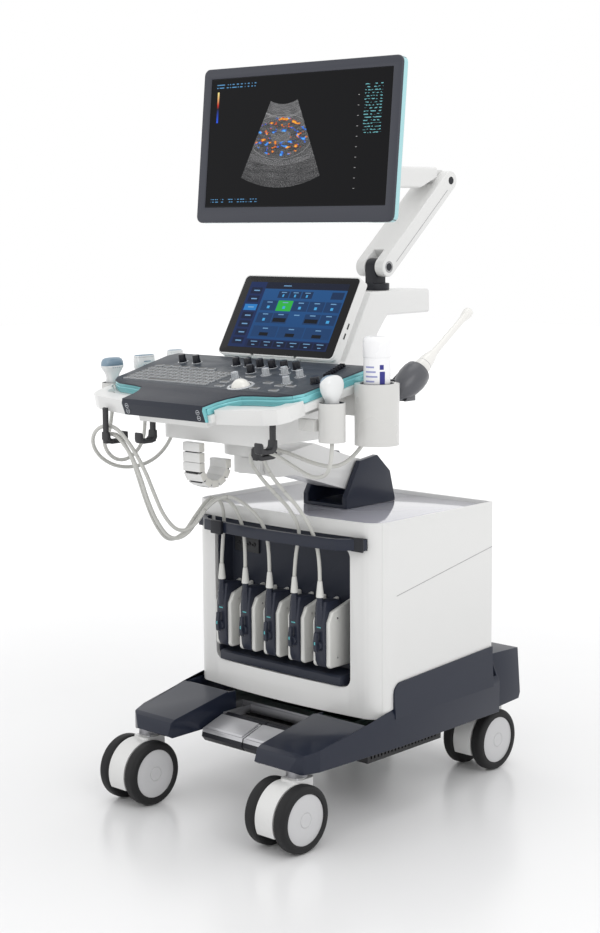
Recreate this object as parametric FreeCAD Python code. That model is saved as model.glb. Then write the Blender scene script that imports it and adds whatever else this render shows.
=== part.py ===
"""Cart-based ultrasound machine, in millimetres, +Z up, the front towards -Y.

The origin is on the floor, midway between the four casters' wheels. Each solid is written to
parts/NODE.step. The order is from the floor up: casters, base, cabinet, lift, console, screens,
probes, cables.
"""

import FreeCAD
import Part
import math
import os

V = FreeCAD.Vector
X_AXIS = V(1, 0, 0)
Y_AXIS = V(0, 1, 0)
Z_AXIS = V(0, 0, 1)
nodes = {}

# ---------------------------------------------------------------- driving dimensions
# clearances
CLEAR_RUNNING = 0.05    # a shaft in its bore, all round
CLEAR_MOVING = 0.8      # between faces of two bodies
CLEAR_SEAT = 0.2        # between two pieces of one body

# casters
WHEEL_D = 148
WHEEL_W = 32
WHEEL_SPACING = 84
TRAIL = 34
AXLE_D = 12
STEM_D = 16
FRONT_TRACK = 466
REAR_TRACK = 394
WHEELBASE = 728
HEAD_TOP_Z = 149

# base
BASE_HALF_W = 292
FOOT_HALF_W = 278
FOOT_INNER_X = 136
BASE_FRONT_Y = -362
BASE_SEAM_Y = -50
BASE_REAR_Y = 316
BASE_BOTTOM_Z = 162
BASE_WALL = 4
FOOT_FRONT_Z = 204
BUMPER_REAR_Y = 433
STEM_PLATE_D = 48
PEDAL_PIN_Y = -176
PEDAL_PIN_Z = 178
PEDAL_PIN_D = 8
PEDAL_GAP = 3

# cabinet
CAB_HALF_W = 285
CAB_FRONT_Y = -142
CAB_BOW = 14
CAB_SEAM_Y = -104
CAB_REAR_Y = 292
CAB_BOTTOM_Z = 234
CAB_TOP_Z = 673
CAB_WALL = 4
CAB_CORNER_R = 46
DECK_Z = 664
RECESS_HALF_W = 211
RECESS_BOTTOM_Z = 297
RECESS_TOP_Z = 613
RECESS_DEPTH = 66
RECESS_R = 22
BAR_HALF_W = 256
BAR_Z = 613
BAR_H = 25
BAR_FRONT_Y = -186
BAR_BOW = 14
BAR_SHOULDER_X = 204
BAR_T = 10
BAR_SEAT_Y = -124
BAR_END_L = 30

# probe connectors
CONNECTOR_PITCH = 77
CONNECTOR_CENTRE_X = -8
BOOT_Y = -158
CONNECTOR_COUNT = 5
CONNECTOR_FRONT_Y = -165
CONNECTOR_BOTTOM_Z = 338
CONNECTOR_W = 50
CONNECTOR_H = 122
CONNECTOR_NOSE_W = 30
CONNECTOR_NOSE_H = 150
CONNECTOR_NECK_D = 20
BOOT_D = 18
BOOT_TOP_Z = 535

# lift
TURRET_HALF_W = 68
CHEEK_T = 15
LIFT_PIVOT_Y = 106
LIFT_PIVOT_Z = 738
LIFT_REACH = 312
LIFT_RISE = 63
LIFT_PIN_D = 22
ARM_HALF_W = 49
HEAD_D = 112
HEAD_TOP = 840
SWIVEL_SHAFT_D = 36

# console
CONSOLE_SLOPE = 12.2
CONSOLE_FOOT_Y = -170
CONSOLE_FOOT_Z = 1019
CONSOLE_HALF_W = 288
CONSOLE_FLARE = 14
PALM_HALF_W = 124
PALM_FRONT = -325
PALM_SEAM = -212
DECK_FRONT = -238
CONSOLE_REAR = 4
DECK_T = 9
TRIM_T = 14
TRIM_LIP = 1.5
LEDGE_T = 16
LEDGE_LIP = 8
PALM_FACE_T = 8
BELLY_HALF_W = 155
BELLY_FRONT_Y = -352
BELLY_REAR_Y = -110
BELLY_BOTTOM_Z = 853
SHAFT_DEPTH = 32
HANDLE_H = 31
HANDLE_T = 26
HANDLE_DROP = 14
KEY_PITCH = 19
KEYS_LEFT = -251
KEYS_FRONT = -192
KEY_ROWS = 5
KNOB_PITCH = 36.4
GAIN_D = 22
GAIN_PLACE = (262, -130)
BALL_PLACE = (98, -185, -6)
KEY_COLUMNS = 14
KNOB_D = 19
BALL_D = 44
KEY_H = 2.2
CONTROL_SINK = 3
WELL_DEPTH = 5.8
BUTTON_W = 22
BUTTON_D = 11
BOARD_PITCH = 48
BOARD_T = 4
BOARD_TOP_Z = 600
EARTH_PIN_D = 6
EARTH_PIN_X = 80
EARTH_PIN_Z = 366

# touch screen and monitor
TOUCH_W = 354
TOUCH_H = 208
TOUCH_T = 24
TOUCH_LEAN = 30
TOUCH_HINGE_Y = -152
TOUCH_HINGE_Z = 1020
TOUCH_PIN_Z = 8
TOUCH_PIN_D = 8
TOUCH_EAR_X = 62
TOUCH_EAR_T = 8
NECK_REAR_Y = 350
NECK_HALF_W = 50
NECK_TOP_Z = 1160
POST_Y = 205
POST_D = 66
POST_EYE_W = 30
SPIGOT_D = 20
SPRING_PIN_D = 14
SPRING_PIVOT_Z = 1215
SPRING_RUN = 235
SPRING_RISE = 203
SPRING_LOWEST = -18
SPRING_HIGHEST = 20
SWEEP_STEPS = 6
FORK_DEPTH = 36
SPRING_W = 84
SPRING_T = 46
LINK_LENGTH = 372
LINK_H = 50
LINK_W = 60
MONITOR_X = -36
MONITOR_Y = -31.5
MONITOR_Z = 1504.5
MONITOR_YAW = 3.2
MONITOR_LEAN = 6.1
SCREEN_W = 529
SCREEN_H = 298
BEZEL_SIDE = 24
BEZEL_TOP = 24
BEZEL_BOTTOM = 36
MONITOR_T = 20
MONITOR_BACK_T = 34

# holders, probes and cables
LEFT_HOLDER_X = -326
LEFT_HOLDER_Y = (-338, -240, -142)
CUP_D = 50
CUP_WALL = 3
CUP_FLOOR_Z = 916
CUP_TOP_Z = 962
SMALL_CUP = (316, -306)
SMALL_CUP_Z0 = 874
SMALL_CUP_Z1 = 955
GEL_CUP = (352, -206)
GEL_CUP_D = 94
GEL_CUP_Z0 = 862
GEL_CUP_Z1 = 990
WAND_FOOT = (334, -116, 957)
WAND_LEAN = 34
HOOK_W = 14
HOOK_T = 8
LEFT_HOOK = (-214, -458, 922, 850, 56)
PALM_HOOK = (-92, -430, 922, 862, -44)
RIGHT_HOOK = (108, -318, 866, 826, 56)
GRIP_HOOK = (262, -426, 922, 868, -44)
CARRIER_X = -20
CARRIER_Y = -338
CARRIER_Z = 800
CARRIER_R = 40
CARRIER_HALF_W = 26
CARRIER_LINKS = 7
BOTTLE_D = 58
BOTTLE_H = 220
BOTTLE_CAP_H = 44
BOTTLE_CAP_R = 8
CABLE_D = 8.5


# ---------------------------------------------------------------- helpers
def box(x0, x1, y0, y1, z0, z1):
    """A block between two corners."""
    return Part.makeBox(x1 - x0, y1 - y0, z1 - z0, V(x0, y0, z0))


def block(x, y, z, dx, dy, dz):
    """A block centred in plan on x, y and standing on z."""
    return Part.makeBox(dx, dy, dz, V(x - dx / 2, y - dy / 2, z))


def rod(base, axis, d, length):
    return Part.makeCylinder(d / 2, length, base, axis)


def side_prism(points, x0, x1):
    """A side outline of (y, z) points, pushed from x0 to x1."""
    ring = [V(x0, y, z) for y, z in points]
    return Part.Face(Part.makePolygon(ring + ring[:1])).extrude(V(x1 - x0, 0, 0))


def plan_prism(points, z0, z1):
    """A plan outline of (x, y) points, pushed from z0 to z1."""
    ring = [V(x, y, z0) for x, y in points]
    return Part.Face(Part.makePolygon(ring + ring[:1])).extrude(V(0, 0, z1 - z0))


def rounded(shape, r, axis):
    """Rounds the straight edges that run along axis."""
    picked = []
    for edge in shape.Edges:
        if isinstance(edge.Curve, Part.Line) and abs(abs(edge.Curve.Direction.dot(axis)) - 1) < 1e-6:
            picked.append(edge)
    return shape.makeFillet(r, picked)


def mirrored(shape):
    """The same piece on the other side of the centre plane."""
    return shape.mirror(V(0, 0, 0), X_AXIS)


def joined(shapes):
    return shapes[0].multiFuse(shapes[1:]).removeSplitter()


def group(shapes):
    """Separate solids of one node."""
    return Part.makeCompound(shapes)


def largest(shape):
    return max(shape.Solids, key=lambda solid: solid.Volume)


def keep(name, shape):
    nodes[name] = shape


def cord(name, points, d):
    """A cable: straight runs joined by tangent arcs, as large as the two runs allow."""
    pts = [V(*p) for p in points]
    edges = []
    start = pts[0]
    radii = []
    for before, corner, after in zip(pts, pts[1:], pts[2:]):
        into = (corner - before).normalize()
        out = (after - corner).normalize()
        turn = into.getAngle(out)
        cut = 0.45 * min((corner - before).Length, (after - corner).Length)
        r = cut / math.tan(turn / 2)
        radii.append(r)
        a = corner - into * cut
        b = corner + out * cut
        inward = (out - into).normalize()
        mid = corner + inward * (r / math.cos(turn / 2) - r)
        edges.append(Part.LineSegment(start, a).toShape())
        edges.append(Part.Arc(a, mid, b).toShape())
        start = b
    edges.append(Part.LineSegment(start, pts[-1]).toShape())
    path = Part.Wire(edges)
    section = Part.Wire(Part.makeCircle(d / 2, pts[0], pts[1] - pts[0]))
    tube = path.makePipeShell([section], True, False)
    expected = math.pi * d * d / 4 * path.Length
    print(f"{name}: length {path.Length:.0f}, tightest radius {min(radii):.0f}, "
          f"volume ratio {tube.Volume / expected:.4f}, lowest {tube.BoundBox.ZMin:.0f}")
    keep(name, tube)


# ---------------------------------------------------------------- casters
def caster_hood(pivot_x, pivot_y):
    """The white hood between the twin wheels, with its head and stem: the wheels lie ahead of the stem."""
    axle_y = pivot_y - TRAIL
    axle_z = WHEEL_D / 2
    half_w = WHEEL_SPACING / 2 - WHEEL_W / 2 - CLEAR_MOVING
    r = WHEEL_D / 2 - 3
    cheek = rod(V(pivot_x - half_w, axle_y, axle_z), X_AXIS, 2 * r, 2 * half_w)
    cheek = cheek.cut(box(pivot_x - 99, pivot_x + 99, axle_y - 99, axle_y + 99, -1, 42))
    head = block(pivot_x, pivot_y, axle_z, 2 * half_w, 62, HEAD_TOP_Z - axle_z)
    head = rounded(head, 12, Z_AXIS)
    hood = joined([cheek, head])
    hood = hood.cut(rod(V(pivot_x - 99, axle_y, axle_z), X_AXIS, AXLE_D + 2 * CLEAR_RUNNING, 198))
    boss = rod(V(pivot_x, pivot_y, HEAD_TOP_Z - 1), Z_AXIS, 40, 3)
    return joined([hood, boss, rod(V(pivot_x, pivot_y, HEAD_TOP_Z - 1), Z_AXIS, STEM_D, 30)])


def caster_wheels(pivot_x, pivot_y):
    """Two tyres with hub discs on one axle."""
    axle_y = pivot_y - TRAIL
    axle_z = WHEEL_D / 2
    pieces = [rod(V(pivot_x - WHEEL_SPACING / 2, axle_y, axle_z), X_AXIS, AXLE_D, WHEEL_SPACING)]
    for side in (-1, 1):
        centre = pivot_x + side * WHEEL_SPACING / 2
        tyre = rod(V(centre - WHEEL_W / 2, axle_y, axle_z), X_AXIS, WHEEL_D, WHEEL_W)
        rims = [e for e in tyre.Edges if isinstance(e.Curve, Part.Circle)]
        tyre = tyre.makeFillet(9, rims)
        face = centre + side * (WHEEL_W / 2 - 3)
        dish = rod(V(face - 3.1, axle_y, axle_z), X_AXIS, 112, 6.2)
        pieces.append(tyre.cut(dish))
        disc = rod(V(face - 3, axle_y, axle_z), X_AXIS, 111.6, 5)
        pieces.append(disc)
    return joined(pieces[:2] + [pieces[3]]), group([pieces[2], pieces[4]])


STEM_SOCKETS = []
for corner, (sx, track, sy) in {
    "front_left": (-1, FRONT_TRACK, -1),
    "front_right": (1, FRONT_TRACK, -1),
    "rear_left": (-1, REAR_TRACK, 1),
    "rear_right": (1, REAR_TRACK, 1),
}.items():
    pivot = (sx * track / 2, sy * WHEELBASE / 2 + TRAIL)
    STEM_SOCKETS.append(pivot)
    keep(f"caster_hood_{corner}", caster_hood(*pivot))
    tyres, discs = caster_wheels(*pivot)
    keep(f"caster_wheels_{corner}", group(tyres.Solids + discs.Solids))


# ---------------------------------------------------------------- base
def chassis():
    """A flat steel frame: two long rails, three cross rails and a plate with a socket over each stem."""
    z0 = BASE_BOTTOM_Z + 8
    z1 = z0 + 26
    rails = []
    for side in (-1, 1):
        rails.append(box(*sorted((side * 160, side * 250)), BASE_FRONT_Y + 34, CAB_REAR_Y - 4, z0, z1))
        rear_x = side * REAR_TRACK / 2
        rails.append(box(rear_x - 55, rear_x + 55, CAB_REAR_Y - 40, BUMPER_REAR_Y - 12, z0, z1))
    for y in (-96, 60, CAB_REAR_Y - 40):
        rails.append(box(-200, 200, y, y + 36, z0, z1))
    frame = joined(rails)
    for x, y in STEM_SOCKETS:
        plate = rod(V(x, y, HEAD_TOP_Z + 3), Z_AXIS, STEM_PLATE_D, z0 - HEAD_TOP_Z - 2)
        frame = frame.fuse(plate)
        frame = frame.cut(rod(V(x, y, HEAD_TOP_Z), Z_AXIS, STEM_D + 2 * CLEAR_RUNNING, 80))
        frame = frame.cut(rod(V(x, y, HEAD_TOP_Z), Z_AXIS, 44, 4))
    return frame.removeSplitter()


def base_solid(inset):
    """One side of the base, drawn inwards by inset: a low foot in front, a rising side cover behind."""
    top = [
        (BASE_FRONT_Y + inset, BASE_BOTTOM_Z + 8),
        (BASE_FRONT_Y + 10 + inset, FOOT_FRONT_Z - 6 - inset),
        (BASE_FRONT_Y + 22 + inset, FOOT_FRONT_Z - inset),
        (BASE_SEAM_Y - 20, 252 - inset),
        (BASE_SEAM_Y, 274 - inset),
        (BASE_REAR_Y - inset, 322 - inset),
    ]
    bottom = [(BASE_REAR_Y - inset, BASE_BOTTOM_Z - 2 * inset),
              (BASE_FRONT_Y + 14 + inset, BASE_BOTTOM_Z - 2 * inset)]
    side = side_prism(top + bottom, 0, 400)
    inner = FOOT_INNER_X + inset
    front = BASE_FRONT_Y - 4
    plan = plan_prism([
        (inner, front), (FOOT_HALF_W - 46 - inset, front), (FOOT_HALF_W - 12 - inset, front + 22),
        (FOOT_HALF_W - inset, front + 60), (BASE_HALF_W - inset, BASE_SEAM_Y),
        (BASE_HALF_W - inset, BASE_REAR_Y + 10), (inner, BASE_REAR_Y + 10),
    ], 0, 500)
    solid = side.common(plan)
    bevel = Part.makeBox(100, 900, 400, V(0, 0, 0))
    bevel.rotate(V(0, 0, 0), Y_AXIS, -24)
    bevel.translate(V(BASE_HALF_W - inset, -500, 236))
    return solid.cut(bevel)


def base_cover():
    """The navy moulding over one side of the base, open below and towards the middle of the cabinet."""
    cover = base_solid(0).cut(base_solid(BASE_WALL))
    inside = box(0, CAB_HALF_W + CLEAR_SEAT, CAB_FRONT_Y - CAB_BOW - 12, CAB_REAR_Y + 20, CAB_BOTTOM_Z - 2,
                 900)
    cover = cover.cut(inside)
    cover = cover.cut(box(0, BASE_HALF_W - 20, BASE_REAR_Y - BASE_WALL - 1, BASE_REAR_Y + 5, BASE_BOTTOM_Z,
                          232))
    cover = cover.cut(box(0, FOOT_INNER_X + 10, CAB_FRONT_Y, BASE_REAR_Y - 8, BASE_BOTTOM_Z - 5, 300))
    return largest(cover)


cover_right = base_cover()
keep("base_cover_right", cover_right)
keep("base_cover_left", mirrored(cover_right))
keep("chassis_frame", chassis())

bumper = side_prism([
    (BASE_REAR_Y + 1, BASE_BOTTOM_Z), (BUMPER_REAR_Y - 6, BASE_BOTTOM_Z + 6),
    (BUMPER_REAR_Y, BASE_BOTTOM_Z + 20),
    (BUMPER_REAR_Y - 12, 296), (BASE_REAR_Y + 1, 300),
], -268, 268)
bumper = rounded(bumper.cut(box(-264, 264, BASE_REAR_Y, BUMPER_REAR_Y - 10, 100, 288)), 1.2, X_AXIS)
keep("rear_bumper", bumper)

vent = box(-250, 250, -118, 144, 129, BASE_BOTTOM_Z + 7)
vent = vent.cut(box(-246, 246, -114, 140, 133, BASE_BOTTOM_Z + 8))
slots = [box(-256, 256, y, y + 5, 137, 156) for y in range(-108, 132, 12)]
keep("base_vent", vent.cut(Part.makeCompound(slots)))


# ---------------------------------------------------------------- pedals
def pedal(x0, x1):
    """A foot pedal: a dark body with a bright tread, hinged at its rear edge."""
    body = side_prism([(-252, 138), (-262, 150), (-258, 168), (-196, 186), (-178, 186), (-178, 160),
                       (-236, 136)],
                      x0, x1)
    tread = side_prism([(-256, 169.2), (-252, 173.2), (-200, 190), (-200, 186.2)], x0 + 5, x1 - 5)
    hinge = rod(V(x0, PEDAL_PIN_Y, PEDAL_PIN_Z), X_AXIS, 20, x1 - x0)
    bore = rod(V(x0 - 1, PEDAL_PIN_Y, PEDAL_PIN_Z), X_AXIS, PEDAL_PIN_D + 2 * CLEAR_RUNNING, x1 - x0 + 2)
    return group([body.fuse(hinge).cut(bore).removeSplitter(), tread])


keep("brake_pedal", pedal(-130, -PEDAL_GAP / 2))
keep("lock_pedal", pedal(PEDAL_GAP / 2, 130))
pedal_bracket = [rod(V(-134, PEDAL_PIN_Y, PEDAL_PIN_Z), X_AXIS, PEDAL_PIN_D, 268)]
for x in (-134, 131):
    pedal_bracket.append(box(x, x + 3, PEDAL_PIN_Y - 12, -95, PEDAL_PIN_Z - 8, PEDAL_PIN_Z + 12))
pedal_bracket.append(box(-134, 134, -98, -95, PEDAL_PIN_Z - 8, PEDAL_PIN_Z + 12))
nodes["chassis_frame"] = joined([nodes["chassis_frame"]] + pedal_bracket)


# ---------------------------------------------------------------- cabinet
def cabinet_plan(inset, z0, z1):
    """The cabinet's outline with a bowed front and round front corners, drawn inwards by inset."""
    w = CAB_HALF_W - inset
    front = CAB_FRONT_Y + inset
    rear = CAB_REAR_Y - inset
    r = CAB_CORNER_R - inset
    k = r * (1 - math.sqrt(0.5))
    corner = front + CAB_BOW
    edges = [
        Part.Arc(V(-w + r, corner, z0), V(0, front, z0), V(w - r, corner, z0)).toShape(),
        Part.Arc(V(w - r, corner, z0), V(w - k, corner + k, z0), V(w, corner + r, z0)).toShape(),
        Part.LineSegment(V(w, corner + r, z0), V(w, rear, z0)).toShape(),
        Part.LineSegment(V(w, rear, z0), V(-w, rear, z0)).toShape(),
        Part.LineSegment(V(-w, rear, z0), V(-w, corner + r, z0)).toShape(),
        Part.Arc(V(-w, corner + r, z0), V(-w + k, corner + k, z0), V(-w + r, corner, z0)).toShape(),
    ]
    return Part.Face(Part.Wire(edges)).extrude(V(0, 0, z1 - z0))


wall_ring = cabinet_plan(0, CAB_BOTTOM_Z, CAB_TOP_Z).cut(cabinet_plan(CAB_WALL, CAB_BOTTOM_Z - 1,
                                                                      CAB_TOP_Z + 1))
rear_opening = box(-210, 210, CAB_REAR_Y - 30, CAB_REAR_Y + 30, 330, 620)
behind_seam = box(-400, 400, CAB_SEAM_Y + 0.4, 400, 0, 900)
keep("cabinet_shell", wall_ring.common(behind_seam).cut(rear_opening))
recess_hole = box(-RECESS_HALF_W, RECESS_HALF_W, -300, 0, RECESS_BOTTOM_Z, RECESS_TOP_Z)
recess_hole = rounded(recess_hole, RECESS_R, Y_AXIS)
front_wall = cabinet_plan(0, CAB_BOTTOM_Z, CAB_TOP_Z).cut(cabinet_plan(14, CAB_BOTTOM_Z - 1, CAB_TOP_Z + 1))
front_wall = front_wall.common(box(-400, 400, -300, CAB_SEAM_Y, 0, 900))
bar_slot = box(-BAR_HALF_W - 1, BAR_HALF_W + 1, -300, BAR_SEAT_Y, BAR_Z - 1, BAR_Z + BAR_H + 1)
deck_seat = cabinet_plan(CAB_WALL, DECK_Z - 10 - CLEAR_SEAT, CAB_TOP_Z + 1)
front_wall = front_wall.cut(recess_hole).cut(bar_slot).cut(deck_seat)
keep("cabinet_front", front_wall)

tub_outer = box(-RECESS_HALF_W + 1, RECESS_HALF_W - 1, CAB_FRONT_Y + 20, CAB_FRONT_Y + RECESS_DEPTH + 4,
                RECESS_BOTTOM_Z + 1, RECESS_TOP_Z - 1)
tub_outer = rounded(tub_outer, RECESS_R - 1, Y_AXIS)
tub_inner = box(-RECESS_HALF_W + 4, RECESS_HALF_W - 4, -300, CAB_FRONT_Y + RECESS_DEPTH,
                RECESS_BOTTOM_Z + 4, RECESS_TOP_Z - 4)
tub_inner = rounded(tub_inner, RECESS_R - 4, Y_AXIS)
ledge = side_prism([(CAB_FRONT_Y + 2, 300), (CAB_FRONT_Y + 2, 318), (CAB_FRONT_Y + 8, 322),
                    (CAB_FRONT_Y + RECESS_DEPTH + 1, 322), (CAB_FRONT_Y + RECESS_DEPTH + 1, 300)],
                   -RECESS_HALF_W + RECESS_R, RECESS_HALF_W - RECESS_R)
keep("port_recess", joined([tub_outer.cut(tub_inner), ledge]))

keep("top_deck", cabinet_plan(CAB_WALL + CLEAR_SEAT, DECK_Z - 10, DECK_Z))


def cable_bar():
    """A bowed navy strip across the cabinet's front, standing off it so that the cables pass behind."""
    def bow(inset):
        w = BAR_HALF_W - inset
        shoulder = BAR_SHOULDER_X - inset / 2
        end_y = CAB_FRONT_Y + CAB_BOW
        shoulder_y = BAR_FRONT_Y + BAR_BOW + inset
        ring = [V(-w, end_y, BAR_Z), V(-shoulder, shoulder_y, BAR_Z)]
        arc = Part.Arc(ring[1], V(0, BAR_FRONT_Y + inset, BAR_Z), V(shoulder, shoulder_y, BAR_Z)).toShape()
        corners = [V(shoulder, shoulder_y, BAR_Z), V(w, end_y, BAR_Z), V(w, BAR_SEAT_Y - 1, BAR_Z),
                   V(-w, BAR_SEAT_Y - 1, BAR_Z), V(-w, end_y, BAR_Z), ring[1]]
        sides = [Part.LineSegment(p, q).toShape() for p, q in zip(corners, corners[1:])]
        return Part.Face(Part.Wire([arc] + sides)).extrude(V(0, 0, BAR_H))
    strip = bow(0).cut(bow(BAR_T))
    ends = []
    for side in (-1, 1):
        x0, x1 = sorted((side * (BAR_HALF_W - BAR_END_L), side * BAR_HALF_W))
        ends.append(box(x0, x1, CAB_FRONT_Y + 2, BAR_SEAT_Y - 1, BAR_Z, BAR_Z + BAR_H))
    return joined([strip] + ends)


keep("cable_bar", cable_bar())


# ---------------------------------------------------------------- probe connectors
def connector(x):
    """One plug: a tall body seated in the recess, a dark front and a cable boot on top."""
    back = CAB_FRONT_Y + RECESS_DEPTH - CLEAR_SEAT
    body = block(x, (CONNECTOR_FRONT_Y + back) / 2 + 8, CONNECTOR_BOTTOM_Z, CONNECTOR_W,
                 back - CONNECTOR_FRONT_Y - 16, CONNECTOR_H + 30)
    body = rounded(body, 7, X_AXIS)
    nose_top = CONNECTOR_BOTTOM_Z + CONNECTOR_NOSE_H
    front = side_prism([
        (CONNECTOR_FRONT_Y, CONNECTOR_BOTTOM_Z), (CONNECTOR_FRONT_Y, nose_top - 40),
        (CONNECTOR_FRONT_Y + 6, nose_top), (back - 40, nose_top), (back - 40, CONNECTOR_BOTTOM_Z),
    ], x - CONNECTOR_NOSE_W / 2, x + CONNECTOR_NOSE_W / 2)
    neck = rod(V(x, BOOT_Y, nose_top - 50), Z_AXIS, CONNECTOR_NECK_D, 62)
    boot_z = nose_top + 11
    boot = Part.makeCone(BOOT_D / 2, CABLE_D / 2 + 1.5, BOOT_TOP_Z - boot_z, V(x, BOOT_Y, boot_z), Z_AXIS)
    return joined([body, front, neck, boot])


def lever(x):
    """A quarter-turn locking lever on the plug's front face."""
    face = CONNECTOR_FRONT_Y - CLEAR_SEAT
    hub = rod(V(x, face, CONNECTOR_BOTTOM_Z + 52), V(0, -1, 0), 22, 5)
    grip = box(x - 4, x + 4, face - 12, face, CONNECTOR_BOTTOM_Z + 36, CONNECTOR_BOTTOM_Z + 84)
    return joined([hub, grip])


FIRST_CONNECTOR_X = CONNECTOR_CENTRE_X - (CONNECTOR_COUNT - 1) / 2 * CONNECTOR_PITCH
CONNECTOR_X = [FIRST_CONNECTOR_X + i * CONNECTOR_PITCH for i in range(CONNECTOR_COUNT)]
keep("probe_connectors", group([piece(x) for x in CONNECTOR_X for piece in (connector, lever)]))

# inside and behind the cabinet
rack = box(-240, 240, CAB_FRONT_Y + RECESS_DEPTH + 10, CAB_REAR_Y - 16, 242, 300)
boards = [box(x, x + BOARD_T, CAB_FRONT_Y + RECESS_DEPTH + 20, CAB_REAR_Y - 26, 299, BOARD_TOP_Z)
          for x in range(-220, 240, BOARD_PITCH)]
keep("electronics_rack", joined([rack] + boards))
panel = box(-209, 209, CAB_REAR_Y - 3, CAB_REAR_Y - 0.2, 331, 619)
inlet = box(120, 170, CAB_REAR_Y - 14, CAB_REAR_Y + 4, 350, 384).cut(
    box(128, 162, CAB_REAR_Y - 10, CAB_REAR_Y + 9, 356, 378))
louvres = [box(-180, 60, CAB_REAR_Y - 9, CAB_REAR_Y + 9, z, z + 6) for z in range(420, 580, 16)]
panel = panel.cut(Part.makeCompound(louvres)).cut(box(121, 169, 0, 400, 351, 383))
pin = rod(V(EARTH_PIN_X, CAB_REAR_Y - 1, EARTH_PIN_Z), Y_AXIS, EARTH_PIN_D, 16)
keep("rear_panel", joined([panel, inlet, pin]))


# ---------------------------------------------------------------- lift
def turret():
    """A navy clevis on the top deck that holds the lift arm between two cheeks."""
    outline = [(22, DECK_Z + 0.2), (22, 690), (70, 772), (132, 780), (178, 738), (196, DECK_Z + 0.2)]
    cheeks = []
    for side in (-1, 1):
        x0, x1 = sorted((side * TURRET_HALF_W, side * (TURRET_HALF_W - CHEEK_T)))
        cheeks.append(side_prism(outline, x0, x1))
    floor = side_prism([(22, DECK_Z + 0.2), (22, 672), (196, 672), (196, DECK_Z + 0.2)], -TURRET_HALF_W,
                       TURRET_HALF_W)
    rear = side_prism([(164, 672), (160, 700), (178, 738), (196, 672)], -TURRET_HALF_W, TURRET_HALF_W)
    pin = rod(V(-TURRET_HALF_W + 2, LIFT_PIVOT_Y, LIFT_PIVOT_Z), X_AXIS, LIFT_PIN_D, 2 * TURRET_HALF_W - 4)
    return joined(cheeks + [floor, rear, pin])


def lift_arm():
    """The parallel lift arm, with a bore for the turret pin and a fork that carries the head."""
    y, z = LIFT_PIVOT_Y, LIFT_PIVOT_Z
    head_y, head_z = y - LIFT_REACH, z + LIFT_RISE
    beam = side_prism([(y + 22, z + 26), (y + 30, z - 8), (y - 2, z - 32), (y - 60, z - 32),
                       (head_y + 70, head_z - 40),
                       (head_y + 20, head_z - 40), (head_y + 20, head_z + 8), (head_y + 140, head_z + 24),
                       (y - 40, z + 42)], -ARM_HALF_W, ARM_HALF_W)
    knuckle = rod(V(-ARM_HALF_W, y, z), X_AXIS, 62, 2 * ARM_HALF_W)
    arm = joined([beam, knuckle])
    arm = arm.cut(rod(V(-99, y, z), X_AXIS, LIFT_PIN_D + 2 * CLEAR_RUNNING, 198))
    ears = []
    for side in (-1, 1):
        x0, x1 = sorted((side * ARM_HALF_W, side * (ARM_HALF_W - 9)))
        ears.append(side_prism([(head_y + 24, head_z + 8), (head_y - 14, head_z + 4),
                                (head_y - 18, head_z - 20),
                                (head_y - 6, head_z - 36), (head_y + 24, head_z - 40)], x0, x1))
    pin = rod(V(-ARM_HALF_W + 1, head_y, head_z - 10), X_AXIS, 16, 2 * ARM_HALF_W - 2)
    return joined([arm] + ears + [pin])


HEAD_Y = LIFT_PIVOT_Y - LIFT_REACH
HEAD_PIN_Z = LIFT_PIVOT_Z + LIFT_RISE - 10
SWIVEL_Y = HEAD_Y - 20


def arm_head():
    """The head at the arm's front: a tongue between the fork's ears and a housing for the console shaft."""
    tongue = side_prism([(HEAD_Y + 12, HEAD_PIN_Z + 40), (HEAD_Y + 12, HEAD_PIN_Z - 12),
                         (HEAD_Y + 6, HEAD_PIN_Z - 20),
                         (HEAD_Y - 30, HEAD_PIN_Z - 20), (HEAD_Y - 30, HEAD_PIN_Z + 40)],
                        -ARM_HALF_W + 9 + CLEAR_MOVING, ARM_HALF_W - 9 - CLEAR_MOVING)
    housing = rod(V(0, SWIVEL_Y, HEAD_PIN_Z + 26), Z_AXIS, HEAD_D, HEAD_TOP - HEAD_PIN_Z - 26)
    head = joined([tongue, housing])
    head = head.cut(rod(V(-99, HEAD_Y, HEAD_PIN_Z), X_AXIS, 16 + 2 * CLEAR_RUNNING, 198))
    return head.cut(rod(V(0, SWIVEL_Y, HEAD_TOP - 34), Z_AXIS, SWIVEL_SHAFT_D + 2 * CLEAR_RUNNING, 60))


keep("lift_turret", turret())
keep("lift_arm", lift_arm())
keep("arm_head", arm_head())


# ---------------------------------------------------------------- console
def tilted(shape):
    """Takes a shape drawn flat, with the control surface at z = 0, onto the sloping console."""
    copy = shape.copy()
    copy.rotate(V(0, 0, 0), X_AXIS, CONSOLE_SLOPE)
    copy.translate(V(0, CONSOLE_FOOT_Y, CONSOLE_FOOT_Z))
    return copy


def turned_back(y, z, degrees):
    """Where a point drawn on an upright panel lies once the panel leans back."""
    a = math.radians(degrees)
    return V(0, y * math.cos(a) + z * math.sin(a), z * math.cos(a) - y * math.sin(a))


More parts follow.
